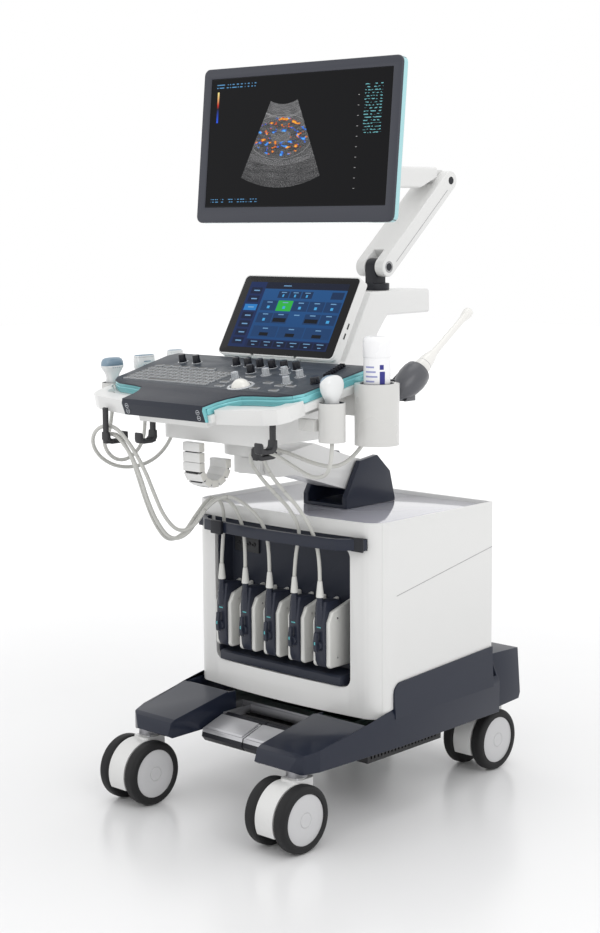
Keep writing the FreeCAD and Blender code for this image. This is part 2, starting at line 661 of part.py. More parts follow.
def console_outline(inset):
    """The control surface in plan: a palm rest that necks into a wide deck, flaring towards the rear."""
    side = CONSOLE_HALF_W - inset
    half = [
        (PALM_HALF_W - inset, PALM_FRONT + inset), (PALM_HALF_W + 3 - inset, PALM_FRONT + 36),
        (PALM_HALF_W + 12 - inset, DECK_FRONT - 26), (PALM_HALF_W + 28, DECK_FRONT - 3 + inset),
        (side - 106, DECK_FRONT + 4 + inset), (side - 46, DECK_FRONT + 11 + inset),
        (side - 17, DECK_FRONT + 25 + inset),
        (side - 2, DECK_FRONT + 46 + inset), (side, DECK_FRONT + 78),
        (side + CONSOLE_FLARE - 3, CONSOLE_REAR - 60),
        (side + CONSOLE_FLARE, CONSOLE_REAR - 24), (side + CONSOLE_FLARE - 14, CONSOLE_REAR - inset),
    ]
    return half + [(-x, y) for x, y in reversed(half)]


deck = plan_prism(console_outline(0), -DECK_T, 0)
ahead_of_seam = box(-400, 400, -500, PALM_SEAM, -60, 60)
behind_palm_face = box(-400, 400, PALM_FRONT + PALM_FACE_T + 0.4, 200, -200, 60)
keep("console_deck", tilted(deck.cut(ahead_of_seam)))
palm = deck.common(box(-400, 400, -500, PALM_SEAM - 0.4, -60, 60))
palm_front = side_prism([(PALM_FRONT, 0), (PALM_FRONT - 4, -10), (PALM_FRONT, -36),
                         (PALM_FRONT + PALM_FACE_T, -38), (PALM_FRONT + PALM_FACE_T, 0)], -PALM_HALF_W,
                         PALM_HALF_W)
keep("palm_rest", tilted(joined([palm, palm_front])))
trim = plan_prism(console_outline(-TRIM_LIP), -DECK_T - TRIM_T,
                  -DECK_T - CLEAR_SEAT).common(behind_palm_face)
keep("console_trim", tilted(trim))
ledge_bottom = -DECK_T - TRIM_T - LEDGE_T
tray = plan_prism(console_outline(-LEDGE_LIP), ledge_bottom,
                  -DECK_T - TRIM_T - CLEAR_SEAT).common(behind_palm_face)
tub = plan_prism(console_outline(20), ledge_bottom - 16, ledge_bottom).common(behind_palm_face)
belly = rounded(box(-BELLY_HALF_W, BELLY_HALF_W, BELLY_FRONT_Y, BELLY_REAR_Y, BELLY_BOTTOM_Z, 940), 30,
                Z_AXIS)
collar = rod(V(0, SWIVEL_Y, HEAD_TOP + CLEAR_MOVING), Z_AXIS, HEAD_D + 20, BELLY_BOTTOM_Z - HEAD_TOP)
shaft = rod(V(0, SWIVEL_Y, HEAD_TOP - SHAFT_DEPTH), Z_AXIS, SWIVEL_SHAFT_D, SHAFT_DEPTH + 20)
touch_axis = V(0, TOUCH_HINGE_Y, TOUCH_HINGE_Z) + turned_back(TOUCH_T / 2, TOUCH_PIN_Z, TOUCH_LEAN)
touch_pin = rod(touch_axis - V(TOUCH_EAR_X + TOUCH_EAR_T, 0, 0), X_AXIS, TOUCH_PIN_D,
                2 * (TOUCH_EAR_X + TOUCH_EAR_T))
touch_ears = [touch_pin]
for x in (-TOUCH_EAR_X - TOUCH_EAR_T, TOUCH_EAR_X):
    touch_ears.append(box(x, x + TOUCH_EAR_T, touch_axis.y - 7, touch_axis.y + 7, 930, touch_axis.z))
    touch_ears.append(rod(V(x, touch_axis.y, touch_axis.z), X_AXIS, 14, TOUCH_EAR_T))
keep("console_lower", joined([tilted(tray.fuse(tub)), belly, collar, shaft] + touch_ears))


def handle():
    """The right grip: a bar from the palm rest's side, outwards, then back to the ledge at the corner."""
    front = PALM_FRONT + 18
    root_x = PALM_HALF_W + 1
    tip_x = CONSOLE_HALF_W + 4
    outline = [
        (root_x, front), (tip_x - 40, front + 20), (tip_x - 12, front + 34), (tip_x, front + 58),
        (tip_x, DECK_FRONT + 34), (tip_x - HANDLE_T, DECK_FRONT + 34), (tip_x - HANDLE_T - 2, front + 64),
        (tip_x - HANDLE_T - 14, front + HANDLE_T + 26), (root_x, front + HANDLE_T + 6),
    ]
    top = -HANDLE_DROP
    bar = plan_prism(outline, top - HANDLE_H, top)
    return bar.cut(plan_prism(console_outline(-LEDGE_LIP - CLEAR_SEAT), -90, 90))


grip = handle()
keep("console_handles", group([tilted(grip), tilted(mirrored(grip))]))


# ---------------------------------------------------------------- controls
def on_deck(solid_at, places):
    """The same control at each (x, y) place of the control surface."""
    return tilted(group([solid_at(x, y) for x, y in places]))


def knob(d, foot, h):
    return lambda x, y: rod(V(x, y, foot), Z_AXIS, d, h - foot)


def key(dx, dy, foot, h):
    return lambda x, y: block(x, y, foot, dx, dy, h - foot)


KEY_PLACES = [(KEYS_LEFT + column * KEY_PITCH, KEYS_FRONT + row * KEY_PITCH)
              for row in range(KEY_ROWS) for column in range(KEY_COLUMNS)]
SHORTCUT_PLACES = [(KEYS_LEFT + 4 + i * 28, KEYS_FRONT + KEY_ROWS * KEY_PITCH + 1) for i in range(7)]
BUTTON_PLACES = [(48, -198), (36, -170), (148, -194), (206, -197), (193, -165), (223, -163), (150, -154),
                 (70, -124)]
ENCODER_PLACES = [(-212, -55), (-167, -54)] + [(-44 + KNOB_PITCH * i, -50) for i in range(6)] + [(41, -93)]
CLEAR_PLACES = [(41, -142), (95, -102), (134, -84), (194, -144), (190, -97)]
SLIDER_PLACES = [(256 - 2.5 * i, -88 + 10.5 * i) for i in range(8)]
keep("keyboard_keys", on_deck(key(KEY_PITCH - 3, KEY_PITCH - 5, -CONTROL_SINK, KEY_H), KEY_PLACES))
keep("soft_buttons", on_deck(key(BUTTON_W, BUTTON_D, -CONTROL_SINK, KEY_H), SHORTCUT_PLACES + BUTTON_PLACES))
keep("encoder_knobs", on_deck(knob(KNOB_D, -CONTROL_SINK, 18), ENCODER_PLACES + CLEAR_PLACES))
keep("gain_knob", on_deck(knob(GAIN_D, CLEAR_MOVING, 14), [GAIN_PLACE]))
keep("gain_sliders", on_deck(key(14, 4.5, CLEAR_MOVING, 8), SLIDER_PLACES))
wells = [
    on_deck(key(BUTTON_W + 2 * CLEAR_MOVING, BUTTON_D + 2 * CLEAR_MOVING, -WELL_DEPTH, 1),
            SHORTCUT_PLACES + BUTTON_PLACES),
    on_deck(knob(KNOB_D + 2 * CLEAR_MOVING, -WELL_DEPTH, 1), ENCODER_PLACES + CLEAR_PLACES),
    tilted(box(KEYS_LEFT - KEY_PITCH / 2 - 1, KEYS_LEFT + (KEY_COLUMNS - 0.5) * KEY_PITCH + 1,
               KEYS_FRONT - KEY_PITCH / 2, KEYS_FRONT + (KEY_ROWS - 0.5) * KEY_PITCH, -WELL_DEPTH, 1)),
]
for well in wells:
    nodes["console_deck"] = nodes["console_deck"].cut(well)
keep("trackball", tilted(Part.makeSphere(BALL_D / 2, V(*BALL_PLACE))))
socket = tilted(Part.makeSphere(BALL_D / 2 + CLEAR_MOVING, V(*BALL_PLACE)))
for name in ("console_deck", "console_trim", "console_lower"):
    nodes[name] = nodes[name].cut(socket)


# ---------------------------------------------------------------- touch screen
def leaned(shape, hinge, degrees):
    """Leans a panel drawn upright on its hinge backwards."""
    copy = shape.copy()
    copy.rotate(V(0, 0, 0), X_AXIS, -degrees)
    copy.translate(hinge)
    return copy


panel_block = box(-TOUCH_W / 2, TOUCH_W / 2, 0, TOUCH_T, 6, TOUCH_H)
panel_block = rounded(panel_block, 12, Y_AXIS)
hinge_bar = rod(V(-TOUCH_EAR_X + CLEAR_MOVING, TOUCH_T / 2, TOUCH_PIN_Z), X_AXIS, 18,
                2 * (TOUCH_EAR_X - CLEAR_MOVING))
touch = joined([panel_block, hinge_bar])
touch = touch.cut(rod(V(-TOUCH_W, TOUCH_T / 2, TOUCH_PIN_Z), X_AXIS, TOUCH_PIN_D + 2 * CLEAR_RUNNING,
                      2 * TOUCH_W))
for x in (-TOUCH_EAR_X - TOUCH_EAR_T, TOUCH_EAR_X):
    touch = touch.cut(rod(V(x - CLEAR_MOVING, TOUCH_T / 2, TOUCH_PIN_Z), X_AXIS, 28,
                          TOUCH_EAR_T + 2 * CLEAR_MOVING))
touch_hinge = V(0, TOUCH_HINGE_Y, TOUCH_HINGE_Z)
keep("touch_panel", leaned(touch, touch_hinge, TOUCH_LEAN))

# ---------------------------------------------------------------- neck and monitor arm
keep("monitor_neck", side_prism([
    (BELLY_REAR_Y + 0.4, 866), (BELLY_REAR_Y + 0.4, 968), (-60, 985), (0, 992), (40, 1002),
    (132, NECK_TOP_Z),
    (NECK_REAR_Y - 2, NECK_TOP_Z), (NECK_REAR_Y, 1104), (192, 1103), (156, 1060), (118, 980), (60, 890),
    (20, 866),
], -NECK_HALF_W, NECK_HALF_W))


def arm_post():
    """A disc that swivels on the neck, with an upright eye for the spring arm."""
    disc = rod(V(0, POST_Y, NECK_TOP_Z + CLEAR_MOVING), Z_AXIS, POST_D, 16)
    stalk = box(-POST_EYE_W / 2, POST_EYE_W / 2, POST_Y - 20, POST_Y + 20, NECK_TOP_Z + 10, SPRING_PIVOT_Z)
    eye = rod(V(-POST_EYE_W / 2, POST_Y, SPRING_PIVOT_Z), X_AXIS, 40, POST_EYE_W)
    spigot = rod(V(0, POST_Y, NECK_TOP_Z - 30), Z_AXIS, SPIGOT_D, 40)
    return joined([disc, stalk, eye, spigot]).cut(
        rod(V(-50, POST_Y, SPRING_PIVOT_Z), X_AXIS, SPRING_PIN_D + 2 * CLEAR_RUNNING, 100))


nodes["monitor_neck"] = nodes["monitor_neck"].cut(
    rod(V(0, POST_Y, NECK_TOP_Z - 30.5), Z_AXIS, SPIGOT_D + 2 * CLEAR_RUNNING, 60))
keep("arm_post", arm_post())

SPRING_LENGTH = math.hypot(SPRING_RUN, SPRING_RISE)
SPRING_ANGLE = math.degrees(math.atan2(SPRING_RISE, SPRING_RUN))
LINK_PIVOT = V(0, POST_Y + SPRING_RUN, SPRING_PIVOT_Z + SPRING_RISE)


def spring_arm():
    """The counterbalanced arm, drawn level, then raised: a boxed beam with a fork and a pin at each end."""
    half = SPRING_W / 2
    beam = box(-half, half, 0, SPRING_LENGTH, -SPRING_T / 2, SPRING_T / 2)
    ends = [rod(V(-half, y, 0), X_AXIS, SPRING_T, SPRING_W) for y in (0, SPRING_LENGTH)]
    slot = POST_EYE_W / 2 + CLEAR_MOVING
    beam = joined([beam] + ends)
    for y0, y1 in ((-40, FORK_DEPTH), (SPRING_LENGTH - FORK_DEPTH, SPRING_LENGTH + 40)):
        beam = beam.cut(box(-slot, slot, y0, y1, -40, 40))
    pins = [rod(V(-half + 1, y, 0), X_AXIS, SPRING_PIN_D, SPRING_W - 2) for y in (0, SPRING_LENGTH)]
    arm = joined([beam] + pins)
    arm.rotate(V(0, 0, 0), X_AXIS, SPRING_ANGLE)
    arm.translate(V(0, POST_Y, SPRING_PIVOT_Z))
    return arm


def fork_sweep():
    """The space that the spring arm's upper fork passes through as the arm rises and sinks."""
    half = SPRING_W / 2 + CLEAR_MOVING
    reach = SPRING_T / 2 + CLEAR_MOVING
    blank = box(-half, half, -SPRING_LENGTH / 2, 0, -reach, reach)
    blank = blank.fuse(rod(V(-half, 0, 0), X_AXIS, 2 * reach, 2 * half))
    blank = blank.cut(box(-POST_EYE_W / 2, POST_EYE_W / 2, CLEAR_MOVING - FORK_DEPTH, 60, -60, 60))
    turns = []
    for i in range(SWEEP_STEPS + 1):
        turned = blank.copy()
        turn = SPRING_ANGLE + SPRING_LOWEST + i * (SPRING_HIGHEST - SPRING_LOWEST) / SWEEP_STEPS
        turned.rotate(V(0, 0, 0), X_AXIS, turn)
        turned.translate(LINK_PIVOT)
        turns.append(turned)
    return turns


def arm_link():
    """The level link: an eye on the spring arm's upper pin, and a swivel behind the monitor."""
    y, z = LINK_PIVOT.y, LINK_PIVOT.z
    eye = rod(V(-POST_EYE_W / 2, y, z), X_AXIS, 40, POST_EYE_W)
    tongue = box(-POST_EYE_W / 2, POST_EYE_W / 2, y - 44, y, z - 14, z + 26)
    beam = box(-LINK_W / 2, LINK_W / 2, y - LINK_LENGTH, y - 40, z - 18, z - 18 + LINK_H)
    nose = rod(V(0, y - LINK_LENGTH, z - 18), Z_AXIS, LINK_W, LINK_H)
    link = joined([eye, tongue, rounded(beam, 6, Y_AXIS), nose])
    for space in fork_sweep():
        link = link.cut(space)
    link = link.cut(rod(V(-50, y, z), X_AXIS, SPRING_PIN_D + 2 * CLEAR_RUNNING, 100))
    return link.cut(rod(V(0, y - LINK_LENGTH, z + 4), Z_AXIS, SPIGOT_D + 2 * CLEAR_RUNNING, 60))


keep("spring_arm", spring_arm())
keep("arm_link", arm_link())


# ---------------------------------------------------------------- monitor
MOUNT_Y = LINK_PIVOT.y - LINK_LENGTH
MOUNT_TOP_Z = LINK_PIVOT.z - 18 + LINK_H


def on_monitor(shape):
    """Takes a shape drawn about the screen's centre, facing -Y, to the monitor's place."""
    copy = shape.copy()
    copy.rotate(V(0, 0, 0), X_AXIS, -MONITOR_LEAN)
    copy.rotate(V(0, 0, 0), Z_AXIS, MONITOR_YAW)
    copy.translate(V(MONITOR_X, MONITOR_Y, MONITOR_Z))
    return copy


def monitor_mount():
    """The swivel head: a spigot in the link's nose, and a fork that reaches forward to the tilt pin."""
    spigot = rod(V(0, MOUNT_Y, MOUNT_TOP_Z - 26), Z_AXIS, SPIGOT_D, 40)
    cap = rod(V(0, MOUNT_Y, MOUNT_TOP_Z + CLEAR_MOVING), Z_AXIS, 56, 30)
    reach = box(-26, 26, TILT_Y - 4, MOUNT_Y, MOUNT_TOP_Z + CLEAR_MOVING, MOUNT_TOP_Z + 30)
    pin = rod(V(-44, TILT_Y, TILT_Z), X_AXIS, 12, 88)
    return joined([spigot, cap, reach, pin])


TILT_Y = MOUNT_Y - 30
TILT_Z = MOUNT_TOP_Z + 16
keep("monitor_mount", monitor_mount())

half_w = SCREEN_W / 2 + BEZEL_SIDE
z_low = -SCREEN_H / 2 - BEZEL_BOTTOM
z_high = SCREEN_H / 2 + BEZEL_TOP
frame_solid = rounded(box(-half_w, half_w, -2, MONITOR_T, z_low, z_high), 16, Y_AXIS)
glass_seat = box(-SCREEN_W / 2 - CLEAR_SEAT, SCREEN_W / 2 + CLEAR_SEAT, -3, MONITOR_T - 4,
                 -SCREEN_H / 2 - CLEAR_SEAT, SCREEN_H / 2 + CLEAR_SEAT)
keep("monitor_bezel", on_monitor(frame_solid.cut(glass_seat)))
keep("monitor_screen", on_monitor(box(-SCREEN_W / 2, SCREEN_W / 2, 0, MONITOR_T - 4 - CLEAR_SEAT,
                                      -SCREEN_H / 2,
                                      SCREEN_H / 2)))
back = rounded(box(-half_w + 8, half_w - 8, MONITOR_T + CLEAR_SEAT, MONITOR_T + 10, z_low + 8, z_high - 8),
               14, Y_AXIS)
bulge = rounded(box(-150, 150, MONITOR_T + 9, MONITOR_T + MONITOR_BACK_T, -120, 110), 20, Y_AXIS)
ears = []
for x0, x1 in ((-43, -28), (28, 43)):
    ears.append(box(x0, x1, TILT_Y - 34, TILT_Y, TILT_Z - 12, TILT_Z + 12))
    ears.append(rod(V(x0, TILT_Y, TILT_Z), X_AXIS, 24, x1 - x0))
rear_shell = joined([on_monitor(back.fuse(bulge))] + ears)
swept = rod(V(-27.2, TILT_Y, TILT_Z), X_AXIS, 60, 54.4)
keep("monitor_back", rear_shell.cut(swept).cut(
    rod(V(-60, TILT_Y, TILT_Z), X_AXIS, 12 + 2 * CLEAR_RUNNING, 120)))


# ---------------------------------------------------------------- holders and probes
def cup(x, y, z0, z1, d, bore, floor, hole):
    """A round holder with a floor, pierced for the cable."""
    solid = rod(V(x, y, z0), Z_AXIS, d, z1 - z0).cut(rod(V(x, y, z0 + floor), Z_AXIS, bore, z1 - z0))
    return solid.cut(rod(V(x, y, z0 - 1), Z_AXIS, hole, floor + 2))


def probe(x, y, z_floor, handle_d, handle_top, head):
    """A hand-held probe standing in its holder: a waisted handle under a wide head."""
    z0 = z_floor + CLEAR_MOVING
    body = Part.makeCone(handle_d / 2 - 4, handle_d / 2, handle_top - z0, V(x, y, z0), Z_AXIS)
    dx, dy, dz = head
    neck = block(x, y, handle_top - 6, min(dx, 26), min(dy, 22), 14)
    top = rounded(block(x, y, handle_top + 4, dx, dy, dz), 5, Z_AXIS)
    return joined([body, neck, top])


LEFT_CUPS = [cup(LEFT_HOLDER_X, y, CUP_FLOOR_Z, CUP_TOP_Z, CUP_D, CUP_D - 2 * CUP_WALL, CUP_WALL, 16)
             for y in LEFT_HOLDER_Y]
rail = box(LEFT_HOLDER_X + CUP_D / 2 - 2, LEFT_HOLDER_X + CUP_D / 2 + 22, LEFT_HOLDER_Y[0] - 16,
           LEFT_HOLDER_Y[2] + 30,
           CUP_TOP_Z - 16, CUP_TOP_Z - 4)
small_cup = cup(*SMALL_CUP, SMALL_CUP_Z0, SMALL_CUP_Z1, 56, 50, CUP_WALL, 16)
cup_slot = box(SMALL_CUP[0] - 60, SMALL_CUP[0], SMALL_CUP[1] - 9, SMALL_CUP[1] + 9, SMALL_CUP_Z0 + 30, 999)
small_cup = small_cup.cut(cup_slot)
small_arm = box(250, SMALL_CUP[0] - 24, SMALL_CUP[1] - 30, SMALL_CUP[1] - 12, SMALL_CUP_Z0 + 22,
                SMALL_CUP_Z0 + 46)
gel_cup = cup(*GEL_CUP, GEL_CUP_Z0, GEL_CUP_Z1, GEL_CUP_D, BOTTLE_D + 12, 6, 10)
gel_arm = box(262, GEL_CUP[0] - GEL_CUP_D / 2 + 6, GEL_CUP[1] - 16, GEL_CUP[1] + 16,
              GEL_CUP_Z1 - 70, GEL_CUP_Z1 - 20)


def on_wand(shape):
    """Takes a shape drawn along +Z to the internal probe's slanting axis."""
    copy = shape.copy()
    copy.rotate(V(0, 0, 0), X_AXIS, WAND_LEAN - 90)
    copy.translate(V(*WAND_FOOT))
    return copy


wand_holder = Part.makeCone(17, 29, 74, V(0, 0, 6),
                            Z_AXIS).cut(Part.makeCone(12, 22, 78, V(0, 0, 5), Z_AXIS))
wand_arm = box(270, WAND_FOOT[0] + 12, WAND_FOOT[1] - 60, WAND_FOOT[1] + 44, WAND_FOOT[2] - 14,
               WAND_FOOT[2] + 14)
wand_arm = wand_arm.cut(on_wand(rod(V(0, 0, -60), Z_AXIS, 40, 240)))
HOLDERS = [joined(LEFT_CUPS + [rail]), joined([small_cup, small_arm]), joined([gel_cup, gel_arm]),
           joined([on_wand(wand_holder), wand_arm])]
for name in ("console_lower", "console_trim", "console_handles"):
    HOLDERS = [largest(holder.cut(nodes[name])) for holder in HOLDERS]
keep("probe_holders", group(HOLDERS))

convex = probe(LEFT_HOLDER_X, LEFT_HOLDER_Y[0], CUP_FLOOR_Z + CUP_WALL, 30, 985, (30, 60, 30))
linear = probe(LEFT_HOLDER_X, LEFT_HOLDER_Y[1], CUP_FLOOR_Z + CUP_WALL, 30, 982, (22, 58, 34))
phased = probe(LEFT_HOLDER_X, LEFT_HOLDER_Y[2], CUP_FLOOR_Z + CUP_WALL, 30, 986, (24, 42, 36))
keep("probe_convex", convex)
keep("probe_linear", linear)
keep("probe_phased", phased)
keep("probe_volume", probe(*SMALL_CUP, SMALL_CUP_Z0 + CUP_WALL, 30, 962, (32, 46, 44)))
wand_pieces = [Part.makeCone(8, 15, 90, V(0, 0, 4), Z_AXIS), Part.makeCone(15, 9, 50, V(0, 0, 94), Z_AXIS),
               rod(V(0, 0, 143), Z_AXIS, 15, 130), Part.makeCone(7.5, 12, 18, V(0, 0, 272), Z_AXIS),
               Part.makeSphere(12, V(0, 0, 290))]
keep("probe_endocavity", on_wand(joined(wand_pieces)))
bottle_z = GEL_CUP_Z0 + 6 + 0.3
bottle_cap = rod(V(*GEL_CUP, bottle_z + BOTTLE_H - BOTTLE_CAP_H), Z_AXIS, BOTTLE_D, BOTTLE_CAP_H)
bottle_cap = bottle_cap.makeFillet(BOTTLE_CAP_R, [e for e in bottle_cap.Edges if e.BoundBox.ZMin > bottle_z
                                                  + BOTTLE_H - 1])
bottle_body = rod(V(*GEL_CUP, bottle_z), Z_AXIS, BOTTLE_D - 2, BOTTLE_H - BOTTLE_CAP_H + 1)
keep("gel_bottle", joined([bottle_body, bottle_cap]))


# ---------------------------------------------------------------- cable hooks and carrier
def hook(x, y, top, saddle_z, reach):
    """A J-shaped cable hook: a stem at y, a saddle and an upturned tip, reaching along Y."""
    w = HOOK_W / 2
    far = y + reach
    mouth = math.copysign(1, reach)
    stem = box(x - w, x + w, y - HOOK_T / 2, y + HOOK_T / 2, saddle_z - HOOK_T, top)
    saddle = box(x - w, x + w, *sorted((y - mouth * HOOK_T / 2, far)), saddle_z - HOOK_T, saddle_z)
    tip = box(x - w, x + w, *sorted((far - mouth * HOOK_T, far)), saddle_z - HOOK_T, saddle_z + 14)
    return joined([stem, saddle, tip])


HOOKS = [hook(*place) for place in (LEFT_HOOK, PALM_HOOK, RIGHT_HOOK, GRIP_HOOK)]
for name in ("console_handles", "console_lower", "palm_rest"):
    HOOKS = [largest(h.cut(nodes[name])) for h in HOOKS]
keep("cable_hooks", group(HOOKS))


def carrier():
    """A hanging chain of open segments that leads the console's wiring down to the lift arm."""
    links = []
    for i in range(CARRIER_LINKS):
        a = math.radians(180 + i * 180 / (CARRIER_LINKS - 1))
        link = box(-CARRIER_HALF_W, CARRIER_HALF_W, -9, 9, -8, 8)
        link.rotate(V(0, 0, 0), X_AXIS, math.degrees(a) + 90)
        link.translate(V(CARRIER_X, CARRIER_Y + CARRIER_R * math.cos(a),
                         CARRIER_Z + CARRIER_R * math.sin(a)))
        links.append(link)
    top = box(CARRIER_X - CARRIER_HALF_W, CARRIER_X + CARRIER_HALF_W, CARRIER_Y - CARRIER_R - 8,
              CARRIER_Y - CARRIER_R + 8, CARRIER_Z - 2, BELLY_BOTTOM_Z - CLEAR_SEAT)
    return joined([top] + links)


keep("cable_carrier", carrier())


# ---------------------------------------------------------------- probe cables
LEFT_END_Z = CUP_FLOOR_Z - 0.2
CABLE_STARTS = [(x, BOOT_Y, BOOT_TOP_Z) for x in CONNECTOR_X]
LEFT_ENDS = [(LEFT_HOLDER_X, y, LEFT_END_Z) for y in LEFT_HOLDER_Y]
cord("cable_convex", [
    CABLE_STARTS[0], (-160, -156, 588), (-154, -154, 640), (-152, -168, 690), (-150, -206, 700),
    (-158, -242, 662),
    (-176, -266, 616), (-190, -302, 604), (-192, -338, 648), (-184, -370, 702), (-172, -400, 756),
    (-168, -424, 812),
    (-200, -430, 858), (-248, -412, 858), (-292, -384, 848), (-324, -348, 866), LEFT_ENDS[0]], CABLE_D)
cord("cable_linear", [
    CABLE_STARTS[1], (-86, -156, 588), (-98, -154, 640), (-116, -170, 690), (-128, -212, 702),
    (-140, -246, 664),
    (-156, -272, 618), (-172, -310, 610), (-176, -348, 658), (-168, -382, 714), (-158, -410, 770),
    (-158, -438, 826),
    (-204, -444, 868), (-256, -430, 850), (-286, -396, 812), (-308, -346, 784), (-322, -292, 782),
    (-326, -248, 814),
    (-326, -240, 866), LEFT_ENDS[1]], CABLE_D)
cord("cable_phased", [
    CABLE_STARTS[2], (-10, -156, 588), (-26, -154, 640), (-62, -170, 684), (-98, -200, 710),
    (-122, -236, 690),
    (-136, -268, 640), (-150, -306, 630), (-154, -346, 672), (-148, -380, 730), (-142, -410, 784),
    (-150, -440, 840),
    (-202, -444, 884), (-258, -446, 874), (-300, -428, 836), (-318, -388, 794), (-318, -334, 766),
    (-314, -272, 762),
    (-318, -212, 776), (-324, -162, 812), (-326, -142, 862), LEFT_ENDS[2]], CABLE_D)
cord("cable_volume", [
    CABLE_STARTS[3], (71, -156, 588), (86, -154, 640), (76, -176, 690), (62, -212, 730), (52, -250, 772),
    (58, -288, 812), (92, -306, 842), (144, -298, 834), (192, -284, 806), (242, -282, 788), (290, -294, 800),
    (SMALL_CUP[0], SMALL_CUP[1] - 2, 832), (*SMALL_CUP, SMALL_CUP_Z0 - 0.2)], CABLE_D)
cord("cable_endocavity", [
    CABLE_STARTS[4], (144, -156, 588), (124, -154, 640), (104, -174, 692), (86, -208, 736), (74, -242, 780),
    (82, -272, 824), (120, -286, 844), (168, -270, 832), (214, -246, 812), (262, -226, 806),
    (296, -200, 840),
    (306, -170, 890), (322, -150, 934), (WAND_FOOT[0], WAND_FOOT[1] - 1, WAND_FOOT[2] - 2)], CABLE_D)


# ---------------------------------------------------------------- export
os.makedirs("parts", exist_ok=True)
for name, shape in nodes.items():
    shape.exportStep(f"parts/{name}.step")
print(len(nodes), "nodes")
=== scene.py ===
"""Cart-based ultrasound machine: materials, finished pieces, cables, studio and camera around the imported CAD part.

Metres, +Z up, the operator's side towards -Y. The sections follow the machine from the floor up.
"""

import math

import bmesh
import bpy
from mathutils import Matrix, Vector


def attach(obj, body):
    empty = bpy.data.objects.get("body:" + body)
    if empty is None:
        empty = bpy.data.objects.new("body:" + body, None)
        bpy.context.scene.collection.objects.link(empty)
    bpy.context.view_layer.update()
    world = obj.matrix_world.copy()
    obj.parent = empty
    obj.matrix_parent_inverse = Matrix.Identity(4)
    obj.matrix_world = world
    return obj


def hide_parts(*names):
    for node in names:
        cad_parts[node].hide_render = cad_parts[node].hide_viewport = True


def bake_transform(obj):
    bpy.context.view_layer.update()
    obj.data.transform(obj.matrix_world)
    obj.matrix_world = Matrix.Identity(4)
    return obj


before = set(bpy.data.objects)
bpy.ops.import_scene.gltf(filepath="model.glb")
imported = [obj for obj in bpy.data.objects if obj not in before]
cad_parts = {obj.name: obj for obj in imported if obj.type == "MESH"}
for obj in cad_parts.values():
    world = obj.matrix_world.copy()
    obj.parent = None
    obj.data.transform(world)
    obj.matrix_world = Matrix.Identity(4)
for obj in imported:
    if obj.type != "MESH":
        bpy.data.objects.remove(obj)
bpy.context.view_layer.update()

# ------------------------------------------------------------------ camera, light and floor
# A long lens at chest height, to the operator's right, with a large soft light on that side
# and a second, weaker one from the left. The floor is a pale, slightly polished sheet with a painted glow of light
# that rises away from the machine.
LENS_PER_LONG_SIDE = 1722.02 / 933
CAMERA_PLACE = Vector((2.650, -2.925, 1.327))
CAMERA_AZIMUTH = math.radians(42.79)
CAMERA_PITCH = math.radians(8.165)
CAMERA_ROLL = math.radians(-0.403)
SENSOR = 36

sin_a, cos_a = math.sin(CAMERA_AZIMUTH), math.cos(CAMERA_AZIMUTH)
sin_p, cos_p = math.sin(CAMERA_PITCH), math.cos(CAMERA_PITCH)
sin_r, cos_r = math.sin(CAMERA_ROLL), math.cos(CAMERA_ROLL)
ahead = Vector((-sin_a * cos_p, cos_a * cos_p, -sin_p))
level = Vector((cos_a, sin_a, 0))
upright = level.cross(ahead)
right = cos_r * level + sin_r * upright
up = cos_r * upright - sin_r * level
lens = bpy.data.cameras.new("studio_camera")
lens.sensor_width = SENSOR
lens.lens = SENSOR * LENS_PER_LONG_SIDE
lens.clip_end = 60
camera = bpy.data.objects.new("studio_camera", lens)
camera.matrix_world = Matrix((right, up, -ahead)).transposed().to_4x4()
camera.location = CAMERA_PLACE
bpy.context.scene.collection.objects.link(camera)
bpy.context.scene.camera = camera
bpy.context.scene.view_settings.view_transform = "Standard"

world = bpy.data.worlds.new("studio")
world.use_nodes = True
world.node_tree.nodes["Background"].inputs["Color"].default_value = (1, 1, 1, 1)
world.node_tree.nodes["Background"].inputs["Strength"].default_value = 1.0
bpy.context.scene.world = world


def soft_light(name, place, target, size, watts, tint=(1, 1, 1)):
    """A square studio light of that size, aimed at a point."""
    data = bpy.data.lights.new(name, "AREA")
    data.size = size
    data.energy = watts
    data.color = tint
    lamp = bpy.data.objects.new(name, data)
    lamp.location = place
    lamp.rotation_euler = (Vector(target) - Vector(place)).to_track_quat("-Z", "Y").to_euler()
    bpy.context.scene.collection.objects.link(lamp)


soft_light("key_light", (3.6, -1.4, 3.2), (0, 0, 0.8), 2.4, 32)
soft_light("fill_light", (-2.8, -3.2, 2.2), (0, 0, 0.8), 2.2, 5, (0.95, 0.97, 1))
soft_light("top_light", (0.2, 0.4, 4.2), (0, 0, 0.6), 2.0, 13)


